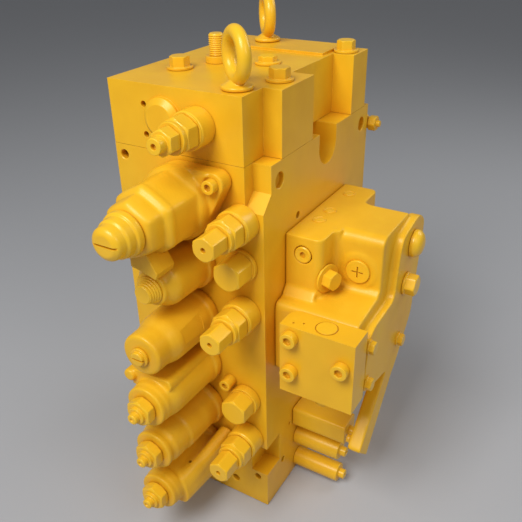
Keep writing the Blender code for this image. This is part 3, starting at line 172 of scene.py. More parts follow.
def profile(*stations: tuple[float, ...]) -> list[Ring]:
    """Return round rings.

    Args:
        stations: Place along the axis and radius of each ring, and its own softness if it has one.

    Returns:
        The rings in the same order.
    """
    return [Ring(along, size, soft=own[0] if own else -1.0) for along, size, *own in stations]


def ready(ring: Ring) -> Corner:
    """Turn a ring into a corner; a ring without a crown has none in reach."""
    return Corner(ring.along, ring.size, ring.section.value, ring.crown or ring.size * 1.2 + 0.01)


def softened(rings: Sequence[Ring], soft: float) -> list[Corner]:
    """Round the corners of a profile.

    Args:
        rings: The profile, from end to end.
        soft: Length that a rounding takes off each side of a corner, unless the ring has its own.

    Returns:
        The corners of the rounded profile.
    """
    raw = [ready(ring) for ring in rings]
    out = [raw[0]]
    for before, corner, after, ring in zip(raw, raw[1:], raw[2:], rings[1:]):
        reach = ring.soft if ring.soft >= 0 else soft
        one = math.hypot(corner.along - before.along, corner.size - before.size)
        two = math.hypot(corner.along - after.along, corner.size - after.size)
        reach = min(reach, one * ROUNDING_MOST, two * ROUNDING_MOST)
        if reach < ROUNDING_LEAST:
            out.append(corner)
            continue
        start = corner.toward(before, reach / one)
        end = corner.toward(after, reach / two)
        for share in ROUNDING_SHARES:
            out.append(start.toward(corner, share).toward(corner.toward(end, share), share))
    out.append(raw[-1])
    return out


def hex_rings(start: float, length: float, across: float, both: bool = False) -> list[Ring]:
    """Return the rings of a hexagon with chamfered corners.

    Args:
        start: Where the hexagon begins along the axis.
        length: Its length.
        across: Its width across flats.
        both: Whether the near end is chamfered as well.

    Returns:
        The rings from the near end to the outer face.
    """
    half = across / 2
    tip = half / HEX_TIP
    face = half * HEX_FACE
    deep = (tip - face) * HEX_SLOPE
    near = [Ring(start, face)] if both else [Ring(start, half, Section.HEX)]
    if both:
        near += [Ring(start + deep * s, half, Section.HEX, face + (tip - face) * s, 0.0) for s in HEX_STEPS]
    end = start + length
    far = [Ring(end - deep * s, half, Section.HEX, face + (tip - face) * s, 0.0) for s in reversed(HEX_STEPS)]
    return near + far + [Ring(end, face * 0.98, soft=0.1)]


def direction(axis: Heading) -> Vector:
    """Return the direction of a named axis or of a slanting one."""
    return Vector(axis.value if isinstance(axis, Axis) else axis).normalized()


def make_object(name: str, points: Iterable[Vector], faces: Iterable[Sequence[int]]) -> Solid:
    """Make an object of the scene.

    Args:
        name: Name of the object.
        points: Its points in millimetres.
        faces: The numbers of the points round each face.

    Returns:
        The new object.
    """
    mesh = bpy.data.meshes.new(name)
    mesh.from_pydata([tuple(point * MM) for point in points], [], [tuple(face) for face in faces])
    mesh.update()
    item = bpy.data.objects.new(name, mesh)
    bpy.context.scene.collection.objects.link(item)
    return item


def turned(name: str, seat: Place, axis: Heading, rings: Sequence[Ring], soft: float = 0.5,
           segments: int = 72) -> Solid:
    """Build a closed turned piece whose rings may be round or hexagonal.

    Args:
        name: Name of the object.
        seat: Place of the profile's zero.
        axis: Direction that the profile runs in.
        rings: The profile. It is closed to a point at both ends.
        soft: Rounding of its corners.
        segments: Sides of the piece, a multiple of twelve.

    Returns:
        The new object.
    """
    closed = [Ring(rings[0].along, 0.0)] + list(rings) + [Ring(rings[-1].along, 0.0)]
    corners = softened(closed, soft)
    turn = Vector((0, 0, 1)).rotation_difference(direction(axis)).to_matrix()
    middle = Vector(seat)
    points = [middle + turn @ Vector((0, 0, corners[0].along))]
    faces: list[tuple[int, ...]] = []
    rows = corners[1:-1]
    for corner in rows:
        for k in range(segments):
            angle = 2 * math.pi * k / segments
            reach = corner.radius(angle)
            out = Vector((reach * math.cos(angle), reach * math.sin(angle), corner.along))
            points.append(middle + turn @ out)
    points.append(middle + turn @ Vector((0, 0, corners[-1].along)))
    last = len(points) - 1
    for k in range(segments):
        nxt = (k + 1) % segments
        faces.append((0, 1 + nxt, 1 + k))
        for row in range(len(rows) - 1):
            low = 1 + row * segments
            high = low + segments
            faces.append((low + k, low + nxt, high + nxt, high + k))
        base = 1 + (len(rows) - 1) * segments
        faces.append((base + k, base + nxt, last))
    return make_object(name, points, faces)


def prism(name: str, outline: Sequence[Point], axis: Axis, low: float, high: float) -> Solid:
    """Extrude a flat outline.

    Args:
        name: Name of the object.
        outline: Its points: (y, z) for RIGHT, (x, z) for BACK and (x, y) for UP.
        axis: One of those three directions.
        low: Place along the axis where the prism begins.
        high: Place where it ends.

    Returns:
        The new object.
    """
    def at(pair: Point, level: float) -> Vector:
        """Return the place of a point of the outline at one level."""
        if axis is Axis.RIGHT:
            return Vector((level, pair[0], pair[1]))
        if axis is Axis.BACK:
            return Vector((pair[0], level, pair[1]))
        return Vector((pair[0], pair[1], level))

    count = len(outline)
    area = sum(a[0] * b[1] - b[0] * a[1] for a, b in zip(outline, list(outline[1:]) + [outline[0]]))
    ring = list(outline) if (area > 0) != (axis is Axis.BACK) else list(reversed(outline))
    points = [at(pair, low) for pair in ring] + [at(pair, high) for pair in ring]
    faces: list[tuple[int, ...]] = [tuple(reversed(range(count))), tuple(range(count, 2 * count))]
    faces += [(k, (k + 1) % count, count + (k + 1) % count, count + k) for k in range(count)]
    return make_object(name, points, faces)


def loft(name: str, near: Sequence[Point], far: Sequence[Point], near_y: float, far_y: float) -> Solid:
    """Build a closed solid between two (x, z) outlines, the far one nearer to the viewer of the front.

    Args:
        name: Name of the object.
        near: Outline on the valve's front face, counter-clockwise as seen from the front.
        far: Outline of the outer end, with as many points.
        near_y: Place of the first outline along Y.
        far_y: Place of the second outline along Y, which is less.

    Returns:
        The new object.
    """
    count = len(near)
    points = [Vector((x, near_y, z)) for x, z in near] + [Vector((x, far_y, z)) for x, z in far]
    faces: list[tuple[int, ...]] = [tuple(reversed(range(count))), tuple(range(count, 2 * count))]
    faces += [(k, (k + 1) % count, count + (k + 1) % count, count + k) for k in range(count)]
    return make_object(name, points, faces)


def block(name: str, low: Place, high: Place) -> Solid:
    """Build a box between two corners."""
    outline = ((low[0], low[1]), (high[0], low[1]), (high[0], high[1]), (low[0], high[1]))
    return prism(name, outline, Axis.UP, low[2], high[2])


def rod(name: str, seat: Place, axis: Heading, start: float, end: float, radius: float,
        segments: int = 48) -> Solid:
    """Build a plain cylinder between two places along an axis."""
    return turned(name, seat, axis, (Ring(start, radius), Ring(end, radius)), 0.0, segments)


def arc(centre: Point, radius: float, start: float, end: float, steps: int = 8) -> list[Point]:
    """Return the points of a flat arc.

    Args:
        centre: Its centre.
        radius: Its radius.
        start: Angle of the first point in degrees.
        end: Angle of the last point in degrees.
        steps: Number of straight pieces.

    Returns:
        The points from start to end.
    """
    angles = (math.radians(start + (end - start) * k / steps) for k in range(steps + 1))
    return [(centre[0] + radius * math.cos(a), centre[1] + radius * math.sin(a)) for a in angles]


def rounded(outline: Sequence[Point], radii: Sequence[float], steps: int = 5) -> list[Point]:
    """Round the corners of a flat outline.

    Args:
        outline: The corners in order.
        radii: Length that each rounding takes off its two sides.
        steps: Number of straight pieces in a rounding.

    Returns:
        The points of the rounded outline.
    """
    out: list[Point] = []
    count = len(outline)
    for k, radius in enumerate(radii):
        corner = Vector(outline[k])
        before = Vector(outline[k - 1])
        after = Vector(outline[(k + 1) % count])
        reach = min(radius, (before - corner).length * 0.48, (after - corner).length * 0.48)
        if reach <= 0.0:
            out.append((corner.x, corner.y))
            continue
        start = corner + (before - corner).normalized() * reach
        end = corner + (after - corner).normalized() * reach
        for n in range(steps + 1):
            share = n / steps
            point = start.lerp(corner, share).lerp(corner.lerp(end, share), share)
            out.append((point.x, point.y))
    return out


def settle(item: Solid) -> Solid:
    """Put the modifiers of an object into its mesh.

    Args:
        item: The object.

    Returns:
        The same object with its finished mesh.
    """
    bpy.context.view_layer.update()
    graph = bpy.context.evaluated_depsgraph_get()
    mesh = bpy.data.meshes.new_from_object(item.evaluated_get(graph))
    item.modifiers.clear()
    old = item.data
    item.data = mesh
    bpy.data.meshes.remove(old)
    mesh.name = item.name
    return item


def combine(item: Solid, tools: Sequence[Solid], operation: Operation) -> Solid:
    """Join helper solids to an object or cut them out of it, and drop the helpers.

    Args:
        item: The object.
        tools: The helper solids.
        operation: What they do.

    Returns:
        The same object.
    """
    for tool in tools:
        step = item.modifiers.new("combine", "BOOLEAN")
        step.operation = operation.value
        step.solver = "EXACT"
        step.object = tool
    if tools:
        settle(item)
    for tool in tools:
        mesh = tool.data
        bpy.data.objects.remove(tool, do_unlink=True)
        bpy.data.meshes.remove(mesh)
    return item


def weld(item: Solid, parts: Sequence[Solid]) -> Solid:
    """Put the meshes of helper solids into an object's own mesh, and drop the helpers.

    Args:
        item: The object.
        parts: The helper solids.

    Returns:
        The same object.
    """
    mesh = bmesh.new()
    mesh.from_mesh(item.data)
    for part in parts:
        mesh.from_mesh(part.data)
        old = part.data
        bpy.data.objects.remove(part, do_unlink=True)
        bpy.data.meshes.remove(old)
    mesh.to_mesh(item.data)
    mesh.free()
    return item


def smooth_shade(item: Solid, angle: float = SOFT_ANGLE) -> Solid:
    """Shade an object smooth with even flats and sharp edges.

    Args:
        item: The object.
        angle: Angle over which the edge between two faces is sharp, in degrees.

    Returns:
        The same object.
    """
    item.data.shade_smooth()
    item.data.set_sharp_from_angle(angle=math.radians(angle))
    flats = item.modifiers.new("flats", "WEIGHTED_NORMAL")
    flats.keep_sharp = True
    flats.weight = 60
    return settle(item)


@dataclass
class Casting:
    """Rough cast skin: solids grown together, remeshed fine and rubbed soft."""

    voxel: float = 1.15
    rub: int = 6

    def pour(self, item: Solid, joined: Sequence[Solid], cut: Sequence[Solid] = ()) -> Solid:
        """Grow the solids together and soften the result.

        Args:
            item: The main solid, which becomes the piece.
            joined: Solids that are joined to it.
            cut: Solids that are cut out of it.

        Returns:
            The same object with its soft skin.
        """
        self.grow(weld(item, joined))
        if cut:
            combine(item, [weld(cut[0], cut[1:])], Operation.CUT)
            self.grow(item)
        rub = item.modifiers.new("rub", "SMOOTH")
        rub.factor = 0.5
        rub.iterations = self.rub
        settle(item)
        item.data.shade_smooth()
        return item

    def grow(self, item: Solid) -> None:
        """Give an object one even skin over all the solids in its mesh.

        Args:
            item: The object.
        """
        skin = item.modifiers.new("skin", "REMESH")
        skin.mode = "VOXEL"
        skin.voxel_size = self.voxel * MM
        settle(item)


@dataclass
class Machining:
    """Milled block: cuts with crisp edges that the paint has rounded a little."""

    edge: float = 0.9
    steps: int = 3
    corner: float = 50.0
    angle: float = 33.0

    def mill(self, item: Solid, cut: Sequence[Solid] = (), joined: Sequence[Solid] = ()) -> Solid:
        """Cut a block and round its edges.

        Args:
            item: The block, which becomes the piece.
            cut: Solids that are cut out of it.
            joined: Solids that are joined to it first.

        Returns:
            The same object.
        """
        combine(item, joined, Operation.JOIN)
        combine(item, cut, Operation.CUT)
        bevel = item.modifiers.new("edge", "BEVEL")
        bevel.width = self.edge * MM
        bevel.segments = self.steps
        bevel.limit_method = "ANGLE"
        bevel.angle_limit = math.radians(self.corner)
        bevel.use_clamp_overlap = True
        return smooth_shade(settle(item), self.angle)


class Socket(Enum):
    """Kind of a socket of a shader group."""

    COLOR = "NodeSocketColor"
    VALUE = "NodeSocketFloat"


@dataclass
class ShaderGroup:
    """Base of the shared shader groups: makes a node tree with named sockets."""

    name: str
    inputs: tuple[tuple[str, Socket], ...]
    outputs: tuple[tuple[str, Socket], ...]

    def open(self) -> tuple[Tree, bpy.types.Node, bpy.types.Node]:
        """Make the node tree.

        Returns:
            The tree with its input node and its output node.
        """
        tree = bpy.data.node_groups.new(self.name, "ShaderNodeTree")
        for label, kind in self.inputs:
            tree.interface.new_socket(name=label, in_out="INPUT", socket_type=kind.value)
        for label, kind in self.outputs:
            tree.interface.new_socket(name=label, in_out="OUTPUT", socket_type=kind.value)
        return tree, tree.nodes.new("NodeGroupInput"), tree.nodes.new("NodeGroupOutput")


def object_place(tree: Tree) -> Wire:
    """Return the place on the object, in metres."""
    return tree.nodes.new("ShaderNodeTexCoord").outputs["Object"]


def noise(tree: Tree, scale: float, detail: float, vector: Wire, rough: float = 0.55) -> bpy.types.Node:
    """Add a noise texture.

    Args:
        tree: The node tree.
        scale: Fineness of the noise.
        detail: Number of finer layers.
        vector: Place that it reads.
        rough: Strength of the finer layers.

    Returns:
        The texture node.
    """
    node = tree.nodes.new("ShaderNodeTexNoise")
    node.inputs["Scale"].default_value = scale
    node.inputs["Detail"].default_value = detail
    node.inputs["Roughness"].default_value = rough
    tree.links.new(vector, node.inputs["Vector"])
    return node


def ramp(tree: Tree, source: Wire, low: float, high: float) -> Wire:
    """Stretch a value.

    Args:
        tree: The node tree.
        source: The value.
        low: The value that becomes 0.
        high: The value that becomes 1.

    Returns:
        The stretched value.
    """
    node = tree.nodes.new("ShaderNodeMapRange")
    node.inputs["From Min"].default_value = low
    node.inputs["From Max"].default_value = high
    tree.links.new(source, node.inputs["Value"])
    return node.outputs["Result"]


def maths(tree: Tree, kind: str, one: object, two: object) -> Wire:
    """Add a math node.

    Args:
        tree: The node tree.
        kind: Name of the operation.
        one: First input, a socket or a number.
        two: Second input, a socket or a number.

    Returns:
        The result.
    """
    node = tree.nodes.new("ShaderNodeMath")
    node.operation = kind
    for slot, value in zip(node.inputs, (one, two)):
        if isinstance(value, Wire):
            tree.links.new(value, slot)
        else:
            slot.default_value = value
    return node.outputs["Value"]


def blend_colour(tree: Tree, share: Wire, one: Wire, two: Wire) -> Wire:
    """Mix two colours.

    Args:
        tree: The node tree.
        share: Share of the second colour.
        one: The first colour.
        two: The second colour.

    Returns:
        The mixed colour.
    """
    node = tree.nodes.new("ShaderNodeMix")
    node.data_type = "RGBA"
    tree.links.new(share, node.inputs["Factor"])
    tree.links.new(one, node.inputs["A"])
    tree.links.new(two, node.inputs["B"])
    return node.outputs["Result"]


class PaintShop:
    """Builds the shader groups once and hands them to the finishes."""

    CLOUD_SCALE = 11.0
    SAG_SCALE = 46.0
    SAG_STRETCH = (1.0, 1.0, 0.35)
    CREVICE_REACH = 0.022
    EDGE_RADIUS = 0.0012
    EDGE_PATCH_SCALE = 85.0
    GRAIN_SCALE = 300.0
    PEEL_SCALE = 620.0
    LUMP_SCALE = 38.0

    def __init__(self) -> None:
        """Build the three groups."""
        self.tone = self.build_tone()
        self.crevice_shade = self.build_shade_and_highlight()
        self.relief = self.build_relief()

    def build_tone(self) -> Tree:
        """Build the uneven sprayed colour: broad clouds, sags and a few lighter patches.

        Returns:
            The shader group.
        """
        colours = (("Colour", Socket.COLOR), ("Deep", Socket.COLOR), ("Light", Socket.COLOR))
        tree, start, end = ShaderGroup("sprayed_tone", colours + (("Amount", Socket.VALUE),),
                                       (("Color", Socket.COLOR), ("Cloud", Socket.VALUE))).open()
        place = object_place(tree)
        stretch = tree.nodes.new("ShaderNodeMapping")
        stretch.inputs["Scale"].default_value = self.SAG_STRETCH
        tree.links.new(place, stretch.inputs["Vector"])
        broad = noise(tree, self.CLOUD_SCALE, 3.0, place).outputs["Fac"]
        sags = noise(tree, self.SAG_SCALE, 4.0, stretch.outputs["Vector"]).outputs["Fac"]
        deep = maths(tree, "MULTIPLY", ramp(tree, broad, 0.45, 0.75), start.outputs["Amount"])
        light = maths(tree, "MULTIPLY", ramp(tree, sags, 0.52, 0.78), start.outputs["Amount"])
        first = blend_colour(tree, deep, start.outputs["Colour"], start.outputs["Deep"])
        second = blend_colour(tree, light, first, start.outputs["Light"])
        tree.links.new(second, end.inputs["Color"])
        tree.links.new(sags, end.inputs["Cloud"])
        return tree

    def build_shade_and_highlight(self) -> Tree:
        """Build the painted shade that darkens corners and creases, and the painted highlight of lighter
        colour along edges.

        Returns:
            The shader group.
        """
        inputs = (("Color", Socket.COLOR), ("Deep", Socket.COLOR), ("Edge", Socket.COLOR),
                  ("Crevice Shade", Socket.VALUE), ("Edge Highlight", Socket.VALUE))
        tree, start, end = ShaderGroup("painted_shade_and_highlight", inputs,
                                       (("Color", Socket.COLOR), ("Mask", Socket.VALUE))).open()
        # Painted shade: the colour turns to the deep tone where ambient occlusion finds corners and creases.
        occlusion = tree.nodes.new("ShaderNodeAmbientOcclusion")
        occlusion.samples = 6
        occlusion.inputs["Distance"].default_value = self.CREVICE_REACH
        painted_shade = ramp(tree, occlusion.outputs["AO"], 0.75, 0.15)
        painted_shade = maths(tree, "MULTIPLY", painted_shade, start.outputs["Crevice Shade"])
        # Painted highlight: a lighter colour along rounded edges, broken into patches by noise.
        rounded_edge = tree.nodes.new("ShaderNodeBevel")
        rounded_edge.samples = 4
        rounded_edge.inputs["Radius"].default_value = self.EDGE_RADIUS
        true_face = tree.nodes.new("ShaderNodeNewGeometry")
        lean = tree.nodes.new("ShaderNodeVectorMath")
        lean.operation = "DOT_PRODUCT"
        tree.links.new(rounded_edge.outputs["Normal"], lean.inputs[0])
        tree.links.new(true_face.outputs["Normal"], lean.inputs[1])
        place = object_place(tree)
        patch = ramp(tree, noise(tree, self.EDGE_PATCH_SCALE, 5.0, place).outputs["Fac"], 0.45, 0.62)
        edge = ramp(tree, lean.outputs["Value"], 0.985, 0.90)
        edge = maths(tree, "MULTIPLY", maths(tree, "MULTIPLY", edge, patch), start.outputs["Edge Highlight"])
        first = blend_colour(tree, painted_shade, start.outputs["Color"], start.outputs["Deep"])
        second = blend_colour(tree, edge, first, start.outputs["Edge"])
        tree.links.new(second, end.inputs["Color"])
        tree.links.new(painted_shade, end.inputs["Mask"])
        return tree

    def build_relief(self) -> Tree:
        """Build the height of the surface: orange peel in the paint over the grain of the metal.

        Returns:
            The shader group.
        """
        inputs = (("Grain Scale", Socket.VALUE), ("Grain", Socket.VALUE), ("Peel", Socket.VALUE),
                  ("Sag", Socket.VALUE))
        tree, start, end = ShaderGroup("paint_relief", inputs, (("Height", Socket.VALUE),)).open()
        place = object_place(tree)
        grain = noise(tree, self.GRAIN_SCALE, 4.0, place, 0.6)
        tree.links.new(start.outputs["Grain Scale"], grain.inputs["Scale"])
        peel = noise(tree, self.PEEL_SCALE, 1.0, place).outputs["Fac"]
        sag = noise(tree, self.LUMP_SCALE, 2.0, place).outputs["Fac"]
        total = maths(tree, "MULTIPLY", grain.outputs["Fac"], start.outputs["Grain"])
        total = maths(tree, "ADD", total, maths(tree, "MULTIPLY", peel, start.outputs["Peel"]))
        total = maths(tree, "ADD", total, maths(tree, "MULTIPLY", sag, start.outputs["Sag"]))
        tree.links.new(total, end.inputs["Height"])
        return tree


def new_material(name: str) -> tuple[bpy.types.Material, Tree, bpy.types.Node]:
    """Start a material.

    Args:
        name: Name of the material.

    Returns:
        The material, its node tree and its Principled shader.
    """
    mat = bpy.data.materials.new(name)
    mat.use_nodes = True
    return mat, mat.node_tree, mat.node_tree.nodes["Principled BSDF"]


def place_group(tree: Tree, group: Tree, colours: Sequence[tuple[str, Sequence[float]]],
                values: Sequence[tuple[str, float]]) -> bpy.types.Node:
    """Place a shader group in a material.

    Args:
        tree: The node tree of the material.
        group: The shader group.
        colours: Its named colours.
        values: Its named numbers.

    Returns:
        The group's node.
    """
    node = tree.nodes.new("ShaderNodeGroup")
    node.node_tree = group
    for label, colour in colours:
        node.inputs[label].default_value = (*colour, 1.0)
    for label, value in values:
        node.inputs[label].default_value = value
    return node


def vary_roughness(tree: Tree, cloud: Wire, shader: bpy.types.Node, limits: tuple[float, float]) -> None:
    """Let the roughness of a shader follow the clouds of its colour.

    Args:
        tree: The node tree of the material.
        cloud: The clouds, from 0 to 1.
        shader: The Principled shader.
        limits: Roughness at 0 and at 1.
    """
    rough = tree.nodes.new("ShaderNodeMapRange")
    rough.inputs["To Min"].default_value = limits[0]
    rough.inputs["To Max"].default_value = limits[1]
    tree.links.new(cloud, rough.inputs["Value"])
    tree.links.new(rough.outputs["Result"], shader.inputs["Roughness"])


def add_bump(tree: Tree, height: Wire, shader: bpy.types.Node, strength: float, reach: float) -> None:
    """Turn a height into the normal of a shader.

    Args:
        tree: The node tree of the material.
        height: The height, from 0 to 1.
        shader: The Principled shader.
        strength: Strength of the bump.
        reach: Depth of the relief in metres.
    """
    bump = tree.nodes.new("ShaderNodeBump")
    bump.inputs["Strength"].default_value = strength
    bump.inputs["Distance"].default_value = reach
    tree.links.new(height, bump.inputs["Height"])
    tree.links.new(bump.outputs["Normal"], shader.inputs["Normal"])


@dataclass(frozen=True)
class PaintFinish:
    """Thick machinery paint over one kind of metal surface."""

    name: str
    slot: str
    colour: Colour = (0.92, 0.505, 0.016)
    # Darker tone, used both for random clouds in the spray and for the painted shade in corners and creases.
    deep: Colour = (0.66, 0.285, 0.006)
    light: Colour = (0.96, 0.60, 0.030)
    # Lighter colour of the painted highlight along edges.
    edge: Colour = (1.0, 0.66, 0.08)
    amount: float = 0.35
    # Strengths of the painted shade in corners and of the painted edge highlight.
    crevice_shade: float = 0.9
    edge_highlight: float = 0.55
    grain_scale: float = 300.0
    grain: float = 0.15
    peel: float = 0.20
    sag: float = 0.8
    roughness: tuple[float, float] = (0.30, 0.48)
    bump: float = 0.35
    bump_reach: float = 0.0006
    coat: float = 0.20
    coat_roughness: float = 0.22
    shine: float = 0.45
    shine_tint: Colour = (1.0, 0.88, 0.55)

    def build(self, shop: PaintShop) -> bpy.types.Material:
        """Build the material of this finish.

        Args:
            shop: Holder of the shader groups.

        Returns:
            The material.
        """
        mat, tree, shader = new_material(self.name)
        colours = (("Colour", self.colour), ("Deep", self.deep), ("Light", self.light))
        tone = place_group(tree, shop.tone, colours, (("Amount", self.amount),))
        crevice_shade = place_group(tree, shop.crevice_shade, (("Deep", self.deep), ("Edge", self.edge)),
                              (("Crevice Shade", self.crevice_shade), ("Edge Highlight", self.edge_highlight)))
        tree.links.new(tone.outputs["Color"], crevice_shade.inputs["Color"])
        tree.links.new(crevice_shade.outputs["Color"], shader.inputs["Base Color"])
        vary_roughness(tree, tone.outputs["Cloud"], shader, self.roughness)
        relief = place_group(tree, shop.relief, (), (("Grain Scale", self.grain_scale), ("Grain", self.grain),
                                                     ("Peel", self.peel), ("Sag", self.sag)))
        add_bump(tree, relief.outputs["Height"], shader, self.bump, self.bump_reach)
        shader.inputs["Coat Weight"].default_value = self.coat
        shader.inputs["Coat Roughness"].default_value = self.coat_roughness
        shader.inputs["Specular IOR Level"].default_value = self.shine
        shader.inputs["Specular Tint"].default_value = (*self.shine_tint, 1.0)
        return mat


@dataclass(frozen=True)
class SteelFinish:
    """Bare steel with fine turning marks or an oil film."""

    name: str
    slot: str
    bright: Colour
    dark: Colour
    roughness: tuple[float, float]
    marks: float
    amount: float = 0.6
    waver: float = 0.6
    bump: float = 0.12
    bump_reach: float = 0.0001

    def build(self, shop: PaintShop) -> bpy.types.Material:
        """Build the material of this finish.

        Args:
            shop: Holder of the shader groups.

        Returns:
            The material.
        """
        mat, tree, shader = new_material(self.name)
        colours = (("Colour", self.bright), ("Deep", self.dark), ("Light", self.bright))
        tone = place_group(tree, shop.tone, colours, (("Amount", self.amount),))
        tree.links.new(tone.outputs["Color"], shader.inputs["Base Color"])
        vary_roughness(tree, tone.outputs["Cloud"], shader, self.roughness)
        wave = tree.nodes.new("ShaderNodeTexWave")
        wave.bands_direction = "Y"
        wave.inputs["Scale"].default_value = self.marks
        wave.inputs["Distortion"].default_value = self.waver
        tree.links.new(object_place(tree), wave.inputs["Vector"])
        add_bump(tree, wave.outputs["Fac"], shader, self.bump, self.bump_reach)
        shader.inputs["Metallic"].default_value = 1.0
        return mat


class Finish(Enum):
    """The finishes of the valve."""

    BODY = PaintFinish("painted_block", "painted_body", grain=0.06, sag=0.45, crevice_shade=0.85)
    CASTING = PaintFinish("painted_rough_casting", "painted_casting", grain=0.55, grain_scale=420.0, sag=1.2,
                          amount=0.45, roughness=(0.36, 0.56))
    FITTING = PaintFinish("painted_fitting_steel", "painted_fitting", colour=(0.94, 0.54, 0.020), grain=0.04,
                          sag=0.5, roughness=(0.28, 0.44), coat=0.28)
    GROUND = SteelFinish("ground_spool_steel", "ground_steel", (0.62, 0.62, 0.63), (0.45, 0.45, 0.46),
                         (0.16, 0.30), 900.0)
    SPRING = SteelFinish("oiled_spring_wire", "spring_steel", (0.27, 0.27, 0.28), (0.13, 0.12, 0.12),
                         (0.28, 0.45), 500.0)


class Workshop:
    """Dresses finished pieces: material, slot, body and the node that each stands for."""

    def __init__(self) -> None:
        """Build every finish once."""
        shop = PaintShop()
        self.materials = {finish: finish.value.build(shop) for finish in Finish}

    def dress(self, item: Solid, finish: Finish, nodes: Sequence[str] = (), body: str = FIXED) -> Solid:
        """Give a piece its finish and its place in the frame.

        Args:
            item: The piece.
            finish: Its finish.
            nodes: The CAD nodes that it stands for.
            body: The CAD body that it rides on.

        Returns:
            The same piece.
        """
        item.data.materials.clear()
        item.data.materials.append(self.materials[finish])
        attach(item, body)
        if nodes:
            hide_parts(*nodes)
        LOG.info("%s: %d faces on %s", item.name, len(item.data.polygons), body)
        return item

    def fit(self, label: str, seat: Place, axis: Heading, rings: Sequence[Ring],
            nodes: Sequence[str] = (), soft: float = 0.5, segments: int = 72, cut: Sequence[Solid] = (),
            angle: float = SOFT_ANGLE, body: str = FIXED) -> Solid:
        """Turn a painted fitting, cut it, shade it and put it in its place.

        Args:
            label: Name of the piece.
            seat: Place of the profile's zero.
            axis: Direction that the profile runs in.
            rings: The profile.
            nodes: The CAD nodes that the piece stands for.
            soft: Rounding of the profile's corners.
            segments: Sides of the piece, a multiple of twelve.
            cut: Solids that are cut out of the piece.
            angle: Angle over which its edges are sharp, in degrees.
            body: The CAD body that it rides on.

        Returns:
            The new piece.
        """
        item = combine(turned(label, seat, axis, rings, soft, segments), cut, Operation.CUT)
        return self.dress(smooth_shade(item, angle), Finish.FITTING, nodes, body)

    def keep(self, node: str, finish: Finish) -> None:
        """Give a CAD node that stays in view its finish.

        Args:
            node: Name of the CAD node.
            finish: Its finish.
        """
        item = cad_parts[node]
        for slot in item.material_slots:
            slot.material = self.materials[finish]
        LOG.info("%s: kept from the frame", node)


